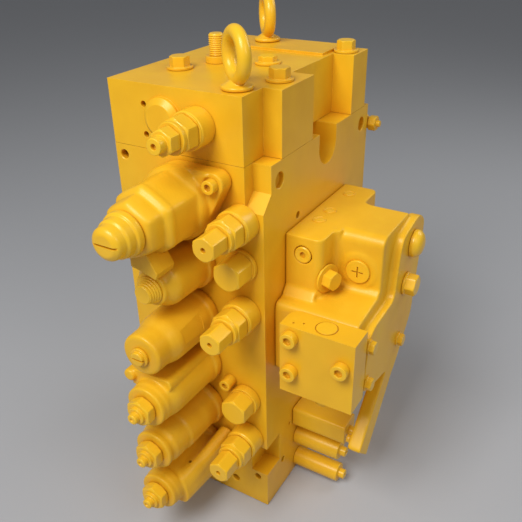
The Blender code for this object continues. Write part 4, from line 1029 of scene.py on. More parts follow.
@dataclass
class ValveBlock:
    """Main body and top cover block, milled from castings.

    The foot notch and the step are given as width, depth and height, the boss as x, z and radius.
    """

    shop: Workshop
    foot_height: float = 53.0
    foot_notch: Size = (22.0, 31.0, 42.0)
    step: Size = (20.5, 16.0, 29.0)
    slot_width: float = 43.0
    slot_depth: float = 39.0
    slot_in: float = 35.0
    slot_y: float = 14.5
    port_ys: Point = (-43.0, 43.0)
    pilot_seats: tuple[tuple[float, float], ...] = ((-48.0, 103.0), (-48.0, 56.5), (-48.0, 16.5))
    top_low: float = 453.3
    top_back: float = 116.0
    boss: Size = (-22.0, 487.8, 21.5)

    def body_cutters(self) -> list[Solid]:
        """Return the solids that are cut out of the main body.

        Returns:
            The foot notch, the top step, the lifting slot, the bores, the ports, the seats and the taps.
        """
        wide, deep, tall = self.step
        notch_w, notch_d, notch_h = self.foot_notch
        foot = self.foot_height
        cutters = [block("notch", (RIGHT - notch_w, FRONT - 5, foot),
                         (RIGHT + 5, FRONT + notch_d, foot + notch_h + 2))]
        slope = ((FRONT - 5, TOP - tall - 21), (FRONT + deep, TOP - tall), (FRONT + deep, TOP + 5),
                 (FRONT - 5, TOP + 5))
        cutters.append(prism("top_step", slope, Axis.RIGHT, RIGHT - wide, RIGHT + 5))
        half = self.slot_width / 2
        shape = arc((self.slot_y, TOP - self.slot_depth + half), half, 180, 360, 24)
        shape += [(self.slot_y + half, TOP + 5), (self.slot_y - half, TOP + 5)]
        cutters.append(prism("lift_slot", shape, Axis.RIGHT, RIGHT - self.slot_in, RIGHT + 5))
        for number, z in enumerate(SPOOL_ZS):
            cutters.append(rod(f"bore_{number}", (0, FRONT, z), Axis.BACK, -5, 266, 14.3))
            for y in self.port_ys:
                rings = profile((-5, 17.5), (1.5, 17.5), (1.5, 11.6), (2.7, 10.5), (90, 10.5))
                cutters.append(turned("port", (-RIGHT, y, z), Axis.RIGHT, rings, 0.0, 48))
        for x, z in RELIEF_PLACES[1:]:
            cutters.append(rod("relief_seat", (x, FRONT, z), Axis.BACK, -5, 46, 13.3))
        for x, z in PLUG_PLACES:
            cutters.append(rod("plug_seat", (x, FRONT, z), Axis.BACK, -5, 21, 13.3))
        return cutters + self.small_holes()

    def small_holes(self) -> list[Solid]:
        """Return the small holes of the front and right faces.

        Returns:
            The cutters of the tapped holes, the lifting holes and the seats of the shuttle cylinders.
        """
        taps = ((-79.0, 441.5, 5.0), (76.0, 44.0, 4.2), (43.0, 24.0, 5.0), (43.0, 187.0, 4.3),
                (44.0, 437.0, 4.3), (-44.0, 383.0, 4.3))
        sides = ((-95, 433, 8.5, 8), (109, 433, 8.5, 8), (-55, 378.5, 4, 16), (-88, 45, 4, 16),
                 (-60, 138, 2.4, 3), (-70, 92, 2.4, 3), (-64, 176, 2.4, 3))
        holes = []
        for x, z, radius in taps:
            rings = profile((-5, radius + 0.8), (0, radius + 0.8), (0.8, radius), (18, radius), (20, 0.5))
            holes.append(turned("tap", (x, FRONT, z), Axis.BACK, rings, 0.0, 36))
        for y, z, radius, deep in sides:
            rings = profile((-5, radius + 0.6), (0, radius + 0.6), (0.6, radius),
                            (deep - radius * 0.3, radius), (deep, radius * 0.2))
            holes.append(turned("hole", (RIGHT, y, z), Axis.LEFT, rings, 0.0, 36))
        for y, z in self.pilot_seats:
            holes.append(rod("pilot_seat", (RIGHT, y, z), Axis.LEFT, -5, 17, 6.3, 36))
        return holes

    def build_body(self) -> None:
        """Mill the main body."""
        item = block("body_block", (-RIGHT, FRONT, 0), (RIGHT, BACK, TOP))
        Machining().mill(item, self.body_cutters())
        self.shop.dress(item, Finish.BODY, ("main_body",))

    def build_top(self) -> None:
        """Mill the top cover block with its pad and boss."""
        outline = ((-RIGHT, FRONT), (69.5, FRONT), (69.5, -90.7), (RIGHT, -90.7), (RIGHT, -24.0),
                   (65.0, -24.0), (65.0, 75.5), (RIGHT, 75.5), (RIGHT, self.top_back),
                   (-RIGHT, self.top_back))
        item = prism("top_cover_block", outline, Axis.UP, self.top_low, TOP_FACE)
        x, z, radius = self.boss
        rings = profile((-4, radius), (3.5, radius), (8, radius - 6))
        boss = turned("boss", (x, FRONT, z), Axis.FRONT, rings, 0.6)
        pad = block("pad", (-RIGHT, 58, TOP_FACE - 4), (59.5, self.top_back, TOP_FACE + 3))
        relief_x, relief_z = RELIEF_PLACES[0]
        cutters = [rod("relief_seat", (relief_x, FRONT, relief_z), Axis.BACK, -5, 46, 13.3)]
        for hole_x, hole_z in ((x - 24, 499.3), (x - 24, 468.3)):
            cutters.append(rod("pin_hole", (hole_x, FRONT, hole_z), Axis.BACK, -5, 12, 3.2, 36))
        Machining().mill(item, cutters, (pad, boss))
        self.shop.dress(item, Finish.BODY, ("top_block",))

    def build(self) -> None:
        """Build both blocks."""
        self.build_body()
        self.build_top()


@dataclass
class TopHardware:
    """Bolts, stud and lifting eyes of the top block."""

    shop: Workshop
    bolts: tuple[tuple[str, Point], ...] = (("left", (-48.0, -62.0)), ("right", (70.5, -60.0)),
                                            ("rear", (73.5, 90.5)))
    flange_bolt: Point = (23.5, -1.5)
    stud: Point = (-30.0, -19.0)
    washer: float = 14.0
    eye_ring: float = 20.5
    eye_bar: float = 6.7
    eye_collar: float = 6.0
    eye_sink: float = 2.65
    around: int = 72
    section: int = 28

    def build_bolt(self, name: str, at: Point, across: float, tall: float, length: float) -> None:
        """Build a hex bolt over its washer.

        Args:
            name: The CAD node.
            at: Place on the top face.
            across: Width of the head across flats.
            tall: Height of the head.
            length: Length of the shank.
        """
        rings = profile((-length, 6.0), (0, 6.0), (0, self.washer), (2.5, self.washer))
        rings += hex_rings(2.5, tall, across)
        self.shop.fit(f"{name}_head", (*at, TOP_FACE + GAP), Axis.UP, rings, (name,))

    def build_stud(self) -> None:
        """Build the ribbed stud, whose thread is filled with paint."""
        root, crest, pitch, start = 7.4, 8.5, 2.2, 7.0
        rings = profile((-30, 6.0), (0, 6.0), (0, 12.5), (start, 12.5))
        while start + pitch < 29.5:
            rings += profile((start, root), (start + pitch * 0.5, crest))
            start += pitch
        rings += profile((start, root), (30, 6.8))
        self.shop.fit("top_stud_thread", (*self.stud, TOP_FACE + GAP), Axis.UP, rings, ("top_stud",), 0.4,
                      angle=50)

    def build_eye(self, name: str, at: Point, seat: float, turn: float) -> None:
        """Build a forged lifting eye on its collar.

        Args:
            name: The CAD node.
            at: Place on the top face.
            seat: Height of the face under the collar.
            turn: Heading of the ring's plane in degrees.
        """
        rings = profile((-24, 6.0), (0, 6.0), (0, 15.5), (3.6, 15.5), (5.2, 11.5), (9.5, 5.0))
        collar = turned(f"{name}_forging", (*at, seat + GAP), Axis.UP, rings, 1.2)
        level = seat + GAP + self.eye_collar + self.eye_ring + self.eye_bar - self.eye_sink
        middle = Vector((*at, level))
        heading = math.radians(turn)
        flat = Vector((math.cos(heading), math.sin(heading), 0))
        across = Vector((-math.sin(heading), math.cos(heading), 0))
        around, section = self.around, self.section
        points = []
        for k in range(around):
            angle = 2 * math.pi * k / around
            out = flat * math.cos(angle) + Vector((0, 0, math.sin(angle)))
            for j in range(section):
                spin = 2 * math.pi * j / section
                reach = self.eye_ring + self.eye_bar * math.cos(spin)
                points.append(middle + out * reach + across * self.eye_bar * math.sin(spin))
        faces = [(k * section + j, ((k + 1) % around) * section + j,
                  ((k + 1) % around) * section + (j + 1) % section, k * section + (j + 1) % section)
                 for k in range(around) for j in range(section)]
        ring = make_object("ring", points, faces)
        ring.data.flip_normals()
        Casting(0.6).pour(collar, (ring,))
        self.shop.dress(collar, Finish.FITTING, (name,))

    def build(self) -> None:
        """Build all the hardware of the top."""
        for tag, at in self.bolts:
            self.build_bolt(f"top_bolt_{tag}", at, across=19.0, tall=10.5, length=89.0)
        self.build_bolt("top_flange_bolt", self.flange_bolt, across=18.0, tall=6.0, length=30.0)
        self.build_stud()
        self.build_eye("eye_bolt_front", (51.0, -106.0), seat=TOP_FACE, turn=-37.0)
        self.build_eye("eye_bolt_rear", (-32.0, 94.0), seat=TOP_FACE + 3, turn=-50.0)


@dataclass
class ReliefValves:
    """Four relief cartridges with their adjusting screws."""

    shop: Workshop
    places: tuple[Point, ...] = RELIEF_PLACES
    barrel: float = 22.0
    hexagon: float = 39.0
    ring: float = 44.0

    def build_housing(self, number: int, at: Point) -> None:
        """Build one cartridge housing.

        Args:
            number: Its number, from the top.
            at: Place (x, z) on the front.
        """
        rings = profile((-45, 13.0), (0, 13.0), (0, 19.5), (self.barrel - 2.5, 19.5),
                        (self.barrel - 1.5, 18.6), (self.barrel, 18.6))
        rings += hex_rings(self.barrel, self.hexagon - self.barrel, 32.5, both=True)[1:]
        rings += profile((self.hexagon, 15.8), (self.ring, 15.8, 1.0), (self.ring, 5.5, 0.2), (12, 5.5))
        self.shop.fit(f"relief_cartridge_{number}", (at[0], FRONT_SEAT, at[1]), Axis.FRONT, rings,
                      (f"relief_housing_{number}",), 0.6)

    def build_adjuster(self, number: int, at: Point) -> None:
        """Build the lock nut and adjusting screw of one cartridge.

        Args:
            number: Number of the cartridge, from the top.
            at: Place (x, z) on the front.
        """
        rings = profile((-30, 5.0), (0, 5.0))
        if number == 1:
            rings += hex_rings(0, 14, 23.5) + profile((14, 8.0), (24, 8.0, 1.2), (24, 3.0), (20, 2.8))
        else:
            rings += [Ring(0, 11.75, Section.HEX), Ring(17, 11.75, Section.HEX)]
            rings += hex_rings(17, 7, 23.5) + profile((24, 2.7), (20, 2.5))
        name = f"relief_adjuster_{number}"
        self.shop.fit(f"relief_lock_nut_{number}", (at[0], FRONT_SEAT - self.ring - GAP, at[1]), Axis.FRONT,
                      rings, (name,), 0.6, body=f"{name}_body")

    def build(self) -> None:
        """Build the four valves."""
        for number, at in enumerate(self.places, 1):
            self.build_housing(number, at)
            self.build_adjuster(number, at)


@dataclass
class FrontPlugs:
    """Hex plugs and socket screws of the front face."""

    shop: Workshop
    plugs: tuple[tuple[str, Point, float], ...] = (("upper_hex_plug", PLUG_PLACES[0], 5.0),
                                                   ("lower_hex_plug", PLUG_PLACES[1], 10.0))

    def build_plug(self, name: str, at: Point, collar: float) -> None:
        """Build a hex plug on its round collar.

        Args:
            name: The CAD node.
            at: Place (x, z) on the front.
            collar: Height of the collar.
        """
        rings = profile((-20, 13.0), (0, 13.0), (0, 18.5), (collar, 18.5), (collar, 15.5))
        rings += hex_rings(collar + 0.3, 31 - collar - 0.3, 30.0)
        self.shop.fit(f"{name}_head", (at[0], FRONT_SEAT, at[1]), Axis.FRONT, rings, (name,), 0.7)

    def build(self) -> None:
        """Build the plugs and the two screws."""
        for name, at, collar in self.plugs:
            self.build_plug(name, at, collar)
        SocketScrew(self.shop, "bonnet_screw", (44.0, FRONT_SEAT - 17 - GAP, 437.0), head=7.2, tall=8.5,
                    shank=4.0, length=35.0).build()
        SocketScrew(self.shop, "front_screw", (43.0, FRONT_SEAT, 187.0), head=7.2, tall=15.0, shank=4.0,
                    length=18.0).build()


@dataclass
class SocketScrew:
    """Socket head screw in a front face, its socket half filled with paint."""

    shop: Workshop
    name: str
    seat: Place
    head: float
    tall: float
    shank: float
    length: float

    def build(self) -> None:
        """Build the screw."""
        socket = self.head * 0.46
        rings = profile((-self.length, self.shank), (0, self.shank), (0, self.head),
                        (self.tall, self.head, 1.1), (self.tall, socket * 1.18))
        rings += [Ring(self.tall - 0.6, socket, Section.HEX), Ring(self.tall - 4.2, socket, Section.HEX),
                  Ring(self.tall - 4.6, socket * 0.4)]
        self.shop.fit(f"{self.name}_head", self.seat, Axis.FRONT, rings, (self.name,), 0.3)


# Outsides of the first five spring caps: distance from the front face, radius and softness.
CAP_SHAPES: dict[int, tuple[tuple[float, float, float], ...]] = {
    1: ((11.5, 22.5, 3), (78, 21.8, 1), (82, 24.2, 1), (90, 24.2, 0.6), (90.5, 23.4, 0.3), (98, 23.4, 1.2)),
    2: ((11.5, 28.5, 3), (60, 27.8, 1.5), (62, 26.2, 1.5), (84, 25.4, 1.2), (88, 23.3, 0.8), (92, 23.3, 0.3),
        (92.4, 24.0, 0.3), (98, 24.0, 1.0)),
    3: ((11.5, 29.5, 3), (74, 28.2, 4), (86, 25.0, 1), (92, 25.0, 0.3), (92.5, 24.2, 0.3), (101, 24.2, 1.2)),
    4: ((11.5, 29.5, 3), (64, 28.2, 4), (76, 24.2, 2), (95, 23.8, 1.0), (97, 21.5, 0.8)),
    5: ((11.5, 28.5, 3), (56, 27.2, 5), (66, 19.2, 1), (71, 18.6, 1.5)),
}


def chamber(z: float, length: float) -> Solid:
    """Return the cutter of a spring chamber at a height, with the hole of its stroke screw."""
    rings = profile((-2, 16.5), (62, 16.5), (62, 6.4), (length, 6.4))
    return turned("chamber", (0, FRONT_SEAT, z), Axis.FRONT, rings, 0.0, 48)


@dataclass
class SpringCaps:
    """Cast spring caps of the first five sections with their stroke screws."""

    shop: Workshop
    flange: float = 31.5
    flange_thick: float = 10.0

    def extras(self, number: int, z: float) -> list[Solid]:
        """Return the ribs, pads and bosses that one casting has of its own.

        Args:
            number: Number of the cap, from below.
            z: Height of its axis.

        Returns:
            The solids that are joined to it.
        """
        if number == 1:
            near = [(x, z + up) for x, up in ((0, -21), (26, -21), (38, -12), (43, 6), (43, 39), (28, 40),
                                              (20, 24), (0, 20))]
            far = [(x, z + up) for x, up in ((0, -20), (12, -26), (25, -24), (29, -14), (27, 2), (23, 13),
                                             (13, 18), (0, 18))]
            radii = (0, 6, 8, 8, 7, 7, 6, 0)
            near, far = rounded(near, radii), rounded(far, radii)
            lobe = rounded(((-9, z - 18), (12, z - 17), (15, z - 25), (5, z - 30), (-8, z - 29.5)),
                           (0, 4, 4, 5, 3))
            return [loft("wing", near, far, FRONT_SEAT - 3, FRONT_SEAT - 80),
                    prism("lobe", lobe, Axis.BACK, FRONT_SEAT - 86, FRONT_SEAT - 4)]
        if number == 3:
            saddle = rounded(((-30, z + 8), (-34, z + 23), (-28, z + 29.5), (21, z + 30.5), (24, z + 22),
                              (16, z + 8)), (0, 5, 5, 6, 6, 0))
            return [prism("saddle", saddle, Axis.BACK, FRONT_SEAT - 83.5, FRONT_SEAT - 4),
                    turned("saddle_boss", (-31, FRONT_SEAT, z + 21.5), Axis.FRONT,
                           profile((66, 7.4), (88, 7.4, 2.5)), 1.0, 36)]
        return []

    def milled(self, number: int, z: float) -> list[Solid]:
        """Return the crisp cuts that are made in one casting after its skin is soft.

        Args:
            number: Number of the cap, from below.
            z: Height of its axis.

        Returns:
            The solids that are cut out of it.
        """
        if number == 1:
            return [rod("pin_hole", (17.5, FRONT_SEAT - 57, z), Axis.UP, 8, 36, 2.0, 24)]
        if number == 4:
            lean = math.radians(18)
            out, up = Vector((math.cos(lean), math.sin(lean))), Vector((-math.sin(lean), math.cos(lean)))
            corners = [out * a + up * b for a, b in ((27.2, -13), (45, -13), (45, 13), (27.2, 13))]
            outline = [(corner.x, z + corner.y) for corner in corners]
            return [prism("side_flat", outline, Axis.BACK, FRONT_SEAT - 60, FRONT_SEAT - 26)]
        return []

    def build_cap(self, number: int, z: float) -> None:
        """Cast one cap.

        Args:
            number: Number of the cap, from below.
            z: Height of its axis.
        """
        shape = CAP_SHAPES[number]
        rings = profile((0, self.flange), (self.flange_thick, self.flange, 2.0),
                        (self.flange_thick, shape[0][1] + 1.5, 2.5), *shape)
        item = turned(f"spring_cap_{number}", (0, FRONT_SEAT, z), Axis.FRONT, rings, 1.0, 96)
        Casting(rub=4).pour(item, self.extras(number, z), [chamber(z, 130)])
        tools = self.milled(number, z)
        if tools:
            combine(item, tools, Operation.CUT)
            smooth_shade(item, 50)
        self.shop.dress(item, Finish.CASTING, (f"cap_{number}",))

    def screw_rings(self, number: int) -> list[Ring]:
        """Return the outer end of one stroke screw.

        Args:
            number: Number of its cap, from below.

        Returns:
            The rings of its lock nut and tip.
        """
        if number <= 3:
            nut = hex_rings(0, 12, 28.5, both=True)
            return nut[1:] + profile((12, 9.8), (15.5, 9.8, 0.8), (15.5, 6.0), (21, 6.0), (22, 4.8),
                                     (22, 2.2), (20.4, 1.6))
        if number == 4:
            return profile((0, 10.5), (3, 10.5), (3, 7.8), (7, 7.8, 1.2))
        radius, pitch, taper = 15.0, 2.5, 1.1
        rings = [Ring(0, radius, soft=0.4)]
        for k in range(5):
            along = pitch * k
            rings += profile((along + 1.7, radius, 0.6), (along + 2.3, radius - taper, 0.3))
            radius -= taper
        return rings + [Ring(12.8, 9.2, soft=1.5)]

    def build_screw(self, number: int, z: float) -> None:
        """Build the stroke screw of one cap.

        Args:
            number: Number of the cap, from below.
            z: Height of its axis.
        """
        length = CAP_SHAPES[number][-1][0]
        rings = profile((-(length - 52), 6.0), (0, 6.0)) + self.screw_rings(number)
        seat = (0, FRONT_SEAT - length - GAP, z)
        cut = [block("slot", (-9, seat[1] - 9, z - 1.1), (9, seat[1] - 4.4, z + 1.1))] if number == 4 else []
        name = f"stroke_screw_{number}"
        self.shop.fit(f"stroke_nut_{number}", seat, Axis.FRONT, rings, (name,), cut=cut, body=f"{name}_body")

    def build(self) -> None:
        """Build five caps and their screws."""
        for number, z in enumerate(SPOOL_ZS[:-1], 1):
            self.build_cap(number, z)
            self.build_screw(number, z)


@dataclass
class Bonnet:
    """Holding-valve bonnet of the top section with its hexagon and domed nose."""

    shop: Workshop
    z: float = SPOOL_ZS[-1]
    radius: float = 39.5
    length: float = 94.0
    lug_x: float = 44.0
    lug_z: float = 27.0
    lug_radius: float = 12.0

    def plate(self) -> list[Point]:
        """Return the outline of the mounting plate with its two lugs.

        Returns:
            Its (x, z) points.
        """
        lean = math.degrees(math.atan2(self.lug_z, self.lug_x))
        middle = (0.0, self.z)
        outline = arc(middle, self.radius, lean + 60, lean + 120, 8)
        outline += arc((-self.lug_x, self.z - self.lug_z), self.lug_radius, lean + 110, lean + 250, 12)
        outline += arc(middle, self.radius, lean + 240, lean + 300, 8)
        outline += arc((self.lug_x, self.z + self.lug_z), self.lug_radius, lean - 70, lean + 70, 12)
        return outline

    def build_casting(self) -> None:
        """Cast the bonnet."""
        z = self.z
        base = prism("bonnet_casting", self.plate(), Axis.BACK, FRONT_SEAT - 17, FRONT_SEAT)
        soft = Section.SOFT_HEX
        rings = [Ring(1, 38), Ring(14, 37.5, soft=4), Ring(30, 34.6, soft, 39.6, 9),
                 Ring(62, 33.6, soft, 38.6, 3), Ring(66, 34.6, soft, 39.2, 2.0),
                 Ring(70, 33.0, soft, 37.0, 1.5), Ring(73, 29.5, soft, 33.0, 1.0)]
        barrel = turned("barrel", (0, FRONT_SEAT, z), Axis.FRONT, rings, 2.0, 96)
        rings = profile((2, 38), (20, 40.5, 6), (30, 37.0, 8))
        skirt = turned("skirt", (0, FRONT_SEAT, z), Axis.FRONT, rings, 4.0, 96)
        nose = [Ring(60, 20), Ring(66, 28.6, soft, 32.4), Ring(84, 28.2, soft, 32.0, 5.0),
                Ring(91, 26.2, soft, 28.6, 3.0), Ring(self.length, 22.0)]
        collar = turned("collar", (0, FRONT_SEAT, z), Axis.FRONT, nose, 1.5, 96)
        web = prism("web", ((10, z + 30), (30, z + 16), (50, z + 24), (38, z + 38)), Axis.BACK,
                    FRONT_SEAT - 20, FRONT_SEAT - 8)
        cutters = [chamber(z, 110)]
        for side in (1, -1):
            cutters.append(rod("lug_hole", (side * self.lug_x, FRONT_SEAT, z + side * self.lug_z), Axis.FRONT,
                               -3, 22, 4.4, 36))
        spot = rod("spot", (self.lug_x, FRONT_SEAT, z + self.lug_z), Axis.FRONT, 17.0, 40, 8.8, 36)
        Casting().pour(base, (barrel, skirt, collar, web), cutters + [spot])
        self.shop.dress(base, Finish.CASTING, ("cap_6",))
        foot = rounded(((-9, z - 27), (12, z - 25), (23, z - 44), (20.5, z - 50.5), (5, z - 45.5),
                        (-9, z - 43)), (0, 0, 1.2, 1.2, 1.5, 1.5), 3)
        pad = Machining(1.1).mill(prism("bonnet_foot", foot, Axis.BACK, FRONT_SEAT - 85, FRONT_SEAT - 57))
        self.shop.dress(pad, Finish.CASTING)

    def build_nose(self) -> None:
        """Build the domed nose, which turns as the stroke screw, with its slot."""
        seat = (0, FRONT_SEAT - self.length - GAP, self.z)
        rings = profile((-42, 6.0), (0, 6.0), (0, 22.0), (2.0, 23.2, 1), (7.5, 22.8, 1.2), (9.0, 20.4, 0.8),
                        (17, 19.8, 1.5), (19, 17.6, 0.8), (27.5, 16.6, 2.5), (31, 11.5, 2.0))
        cutter = block("slot", (-17, seat[1] - 36, self.z - 1.1), (17, seat[1] - 28.4, self.z + 1.1))
        self.shop.fit("bonnet_nose", seat, Axis.FRONT, rings, ("stroke_screw_6",), 0.8, 84, [cutter],
                      body="stroke_screw_6_body")

    def build(self) -> None:
        """Build the bonnet and its nose."""
        self.build_casting()
        self.build_nose()


@dataclass
class RearCover:
    """Pilot cover over the spool tails and the angle plug beside it."""

    shop: Workshop
    half_width: float = 42.0
    low: float = 35.0
    high: float = 447.0
    screw_xs: tuple[tuple[str, float], ...] = (("left", -32.0), ("right", 32.0))
    screw_up: float = 20.0
    plug_at: Point = (74.5, 425.5)

    def build_cover(self) -> None:
        """Cast the cover with a row of pilot bosses and cover screws."""
        seat = BACK_SEAT
        wide = self.half_width
        plan = rounded(((-wide, seat), (wide, seat), (wide, seat + 18), (24, seat + 30), (16, seat + 37.4),
                        (-16, seat + 37.4), (-24, seat + 30), (-wide, seat + 18)), (0, 0, 5, 6, 6, 6, 6, 5))
        item = prism("pilot_cover", plan, Axis.UP, self.low, self.high)
        joined = []
        for z in SPOOL_ZS:
            for _, x in self.screw_xs:
                joined.append(turned("screw_boss", (x, seat + 14, z + self.screw_up), Axis.BACK,
                                     profile((0, 9.0), (10.5, 9.0, 2)), 1.0, 36))
        cutters = [rod("tail_chamber", (0, seat, z), Axis.BACK, -3, 22, 14.3) for z in SPOOL_ZS]
        Casting(2.0, 2).pour(item, joined, cutters)
        self.shop.dress(item, Finish.CASTING, ("rear_cover",))
        for number, z in enumerate(SPOOL_ZS, 1):
            for tag, x in self.screw_xs:
                rings = profile((-8, 3.5), (0, 3.5), (0, 6.5), (5.5, 6.5, 0.8), (5.5, 3.4))
                rings += [Ring(5.0, 3.0, Section.HEX), Ring(2.2, 3.0, Section.HEX)]
                self.shop.fit(f"cover_bolt_{tag}_{number}", (x, seat + 24.2, z + self.screw_up), Axis.BACK,
                              rings, soft=0.3, segments=36)

    def build_plug(self) -> None:
        """Build the angle plug."""
        x, z = self.plug_at
        rings = profile((-9, 4.0), (0, 4.0), (0, 10.0), (23.8, 10.0, 1.2))
        item = turned("angle_plug", (x, BACK_SEAT, z), Axis.BACK, rings, 0.6, 60)
        arm = profile((0, 7.5), (14, 7.5)) + hex_rings(14, 9.8, 17.0, both=True)[1:]
        arm += profile((23.8, 4), (28, 4))
        combine(item, [turned("arm", (x, BACK_SEAT + 13, z), Axis.RIGHT, arm, 0.5, 60)], Operation.JOIN)
        smooth_shade(item)
        self.shop.dress(item, Finish.FITTING, ("rear_plug",))

    def build(self) -> None:
        """Build the cover and the plug."""
        self.build_cover()
        self.build_plug()


@dataclass
class SideBlock:
    """Side valve block with its cover block, screws and plugs."""

    shop: Workshop
    left: float = RIGHT + 0.05
    bar_right: float = 133.0
    arm_right: float = 187.0
    end_right: float = 196.0
    top: float = 370.0
    low: float = 208.0
    front: float = -84.0
    back: float = 68.0
    arm_front: float = -50.0
    arm_back: float = 25.0
    deck_front: float = -108.0
    deck: float = 303.0
    lip: float = 297.0
    cover_left: float = 114.0
    cover_right: float = 197.5
    cover_deep: float = 31.0
    cover_low: float = 211.0
    cover_screws: tuple[Point, ...] = ((127.0, 284.0), (127.0, 241.0), (184.5, 266.0))
    leg: tuple[Point, ...] = ((-100.0, 120.0), (-75.0, 95.0), (-13.0, 168.0), (4.0, 190.0), (4.0, 198.0),
                              (-24.0, 198.0))
    leg_span: Point = (180.0, 190.0)
    socket_at: Point = (111.0, 349.0)
    cross_at: Point = (161.0, 327.0)
    flanged_at: Point = (-71.0, 321.0)
    tilt: Place = (0.96, -0.28, 0.0)
    dome_at: Point = (20.0, 337.0)
    side_hex_at: Point = (6.0, 292.0)

    def lower_part(self) -> list[Point]:
        """Return the (y, z) outline of the front and the deck."""
        return [(self.deck_front, self.low), (self.deck_front, self.lip), (self.arm_front, self.deck),
                (self.arm_back, self.deck)]

    def keel(self) -> list[Point]:
        """Return the (y, z) outline of the sloping underside."""
        return [(self.arm_back - 21, self.low - 18), (self.deck_front + 48, self.low - 10)]

    def end_flange(self) -> list[Point]:
        """Return the outline of the curved end flange with its hanging tail.

        Returns:
            Its (y, z) points.
        """
        front = self.arm_front
        rim = [(self.arm_back + 10, self.top - 3), (front + 37, self.top - 11.5), (front + 30, self.top - 26),
               (front + 25.5, self.top - 55), (front + 23, self.deck - 10), (front + 15, self.deck - 15.5),
               (front - 34, self.lip - 11), (self.deck_front + 9, self.lip - 20),
               (self.deck_front + 4, self.low + 6), (self.deck_front + 20, self.low - 4)]
        tail = [(self.deck_front + 76, self.low - 16), (self.deck_front + 8, self.low - 88),
                (self.deck_front + 33, self.low - 113), (self.arm_back - 38, self.low - 40),
                (self.arm_back - 17, self.low - 20)]
        back = [(self.arm_back - 7, self.low - 8), (self.arm_back + 20, self.low + 24),
                (self.arm_back + 22, self.low + 62), (self.arm_back + 32, self.top - 40),
                (self.arm_back + 31, self.top - 17)]
        radii = (12, 8, 10, 14, 8, 12, 10, 8, 6, 6, 3, 3, 3, 6, 6, 8, 12, 14, 10, 8)
        return rounded(rim + tail + back, radii)

    def casting_cutters(self) -> list[Solid]:
        """Return the solids that are cut out of the casting.

        Returns:
            The rounding of the arm's top edge and the seats of the plugs and screws.
        """
        corner = [(self.arm_front - 10, self.top + 10), (self.arm_front - 10, self.top - 12)]
        corner += arc((self.arm_front + 12, self.top - 12), 12, 180, 90, 10)
        corner += [(self.arm_front + 12, self.top + 10)]
        socket_x, socket_z = self.socket_at
        cross_x, cross_z = self.cross_at
        flanged = profile((-16, 8.3), (0, 8.3), (0, 16.5), (22, 16.5))
        cutters = [prism("arm_round", corner, Axis.RIGHT, self.bar_right + 6, self.arm_right + 0.3),
                   rod("socket_seat", (socket_x, self.front, socket_z), Axis.BACK, -4, 16, 10.0),
                   rod("cross_seat", (cross_x, self.arm_front, cross_z), Axis.BACK, -4, 16, 11.8),
                   turned("flanged_seat", (self.bar_right, *self.flanged_at), self.tilt, flanged, 0.0, 48),
                   rod("dome_seat", (self.end_right, *self.dome_at), Axis.RIGHT, -16, 10, 10.3),
                   rod("side_hex_seat", (self.end_right, *self.side_hex_at), Axis.RIGHT, -16, 10, 8.3)]
        for x, z in self.cover_screws:
            cutters.append(rod("cover_tap", (x, self.deck_front, z), Axis.BACK, -4, 18, 5.3))
        return cutters

    def build_details(self) -> None:
        """Set the flange bolts and the pressed plugs, which are painted over with the casting."""
        for number, (y, z) in enumerate(((-97, 270), (-97, 222), (0, 218)), 1):
            rings = profile((-3, 8.5), (1.8, 8.5)) + hex_rings(1.8, 5.7, 13.0)
            self.shop.fit(f"flange_bolt_{number}", (self.end_right, y, z), Axis.RIGHT, rings, soft=0.3,
                          segments=48)
        rings = profile((-3, 7.0), (3.0, 7.0, 0.8), (3.0, 5.2), (7.5, 5.2, 1.5))
        self.shop.fit("leg_bolt", (self.leg_span[0], -80, 116), Axis.LEFT, rings, soft=0.3, segments=48)
        for number, y in enumerate((-39, -12, 41), 1):
            rings = profile((-3, 7.6), (0.9, 7.4, 0.5), (0.9, 6.6, 0.2), (0.1, 6.2, 0.1), (0.1, 5.6, 0.1),
                            (0.8, 5.2, 0.3))
            self.shop.fit(f"pressed_plug_{number}", (108, y, self.top), Axis.UP, rings, soft=0.2, segments=48,
                          angle=60)

    def build_casting(self) -> None:
        """Cast the side block."""
        bar = self.lower_part() + [(self.back, self.deck), (self.back, self.low + 54),
                                   (self.arm_back + 5, self.low + 28)]
        lower = rounded(bar + self.keel(), (6, 8, 3, 0, 0, 10, 14, 12, 8))
        item = prism("side_valve_casting", lower, Axis.RIGHT, self.left, self.bar_right)
        arm = rounded(self.lower_part() + [(self.arm_back, self.low + 28)] + self.keel(),
                      (6, 8, 3, 0, 8, 12, 8))
        parts = [prism("arm", arm, Axis.RIGHT, self.bar_right - 4, self.arm_right)]
        plan = [(self.left, self.back), (self.left, self.front)]
        plan += arc((self.bar_right - 8, self.front + 8), 8, 270, 360, 6)
        plan += arc((self.bar_right + 11, self.arm_front - 11), 11, 180, 90, 8)
        plan += [(self.arm_right, self.arm_front), (self.arm_right, self.arm_back)]
        plan += arc((self.bar_right + 10, self.arm_back + 10), 10, 270, 180, 6)
        plan += arc((self.bar_right - 8, self.back - 8), 8, 0, 90, 6)
        parts.append(prism("upper", plan, Axis.UP, self.deck - 8, self.top))
        parts.append(prism("end_flange", self.end_flange(), Axis.RIGHT, self.arm_right - 4, self.end_right))
        parts.append(prism("leg", rounded(self.leg, (6, 6, 8, 0, 0, 0)), Axis.RIGHT, *self.leg_span))
        cross_x, cross_z = self.cross_at
        parts.append(turned("cross_ring", (cross_x, self.arm_front, cross_z), Axis.FRONT,
                            profile((-4, 20.5), (1.6, 20.5, 0.8)), 0.6, 72))
        foot = ((self.front, self.deck - 2), (self.front - 7, self.deck - 2), (self.front, self.deck + 6))
        parts.append(prism("bar_foot", foot, Axis.RIGHT, self.left, self.bar_right - 5))
        foot = ((self.arm_front + 1, self.deck - 2), (self.arm_front - 7, self.deck - 2),
                (self.arm_front + 1, self.deck + 7))
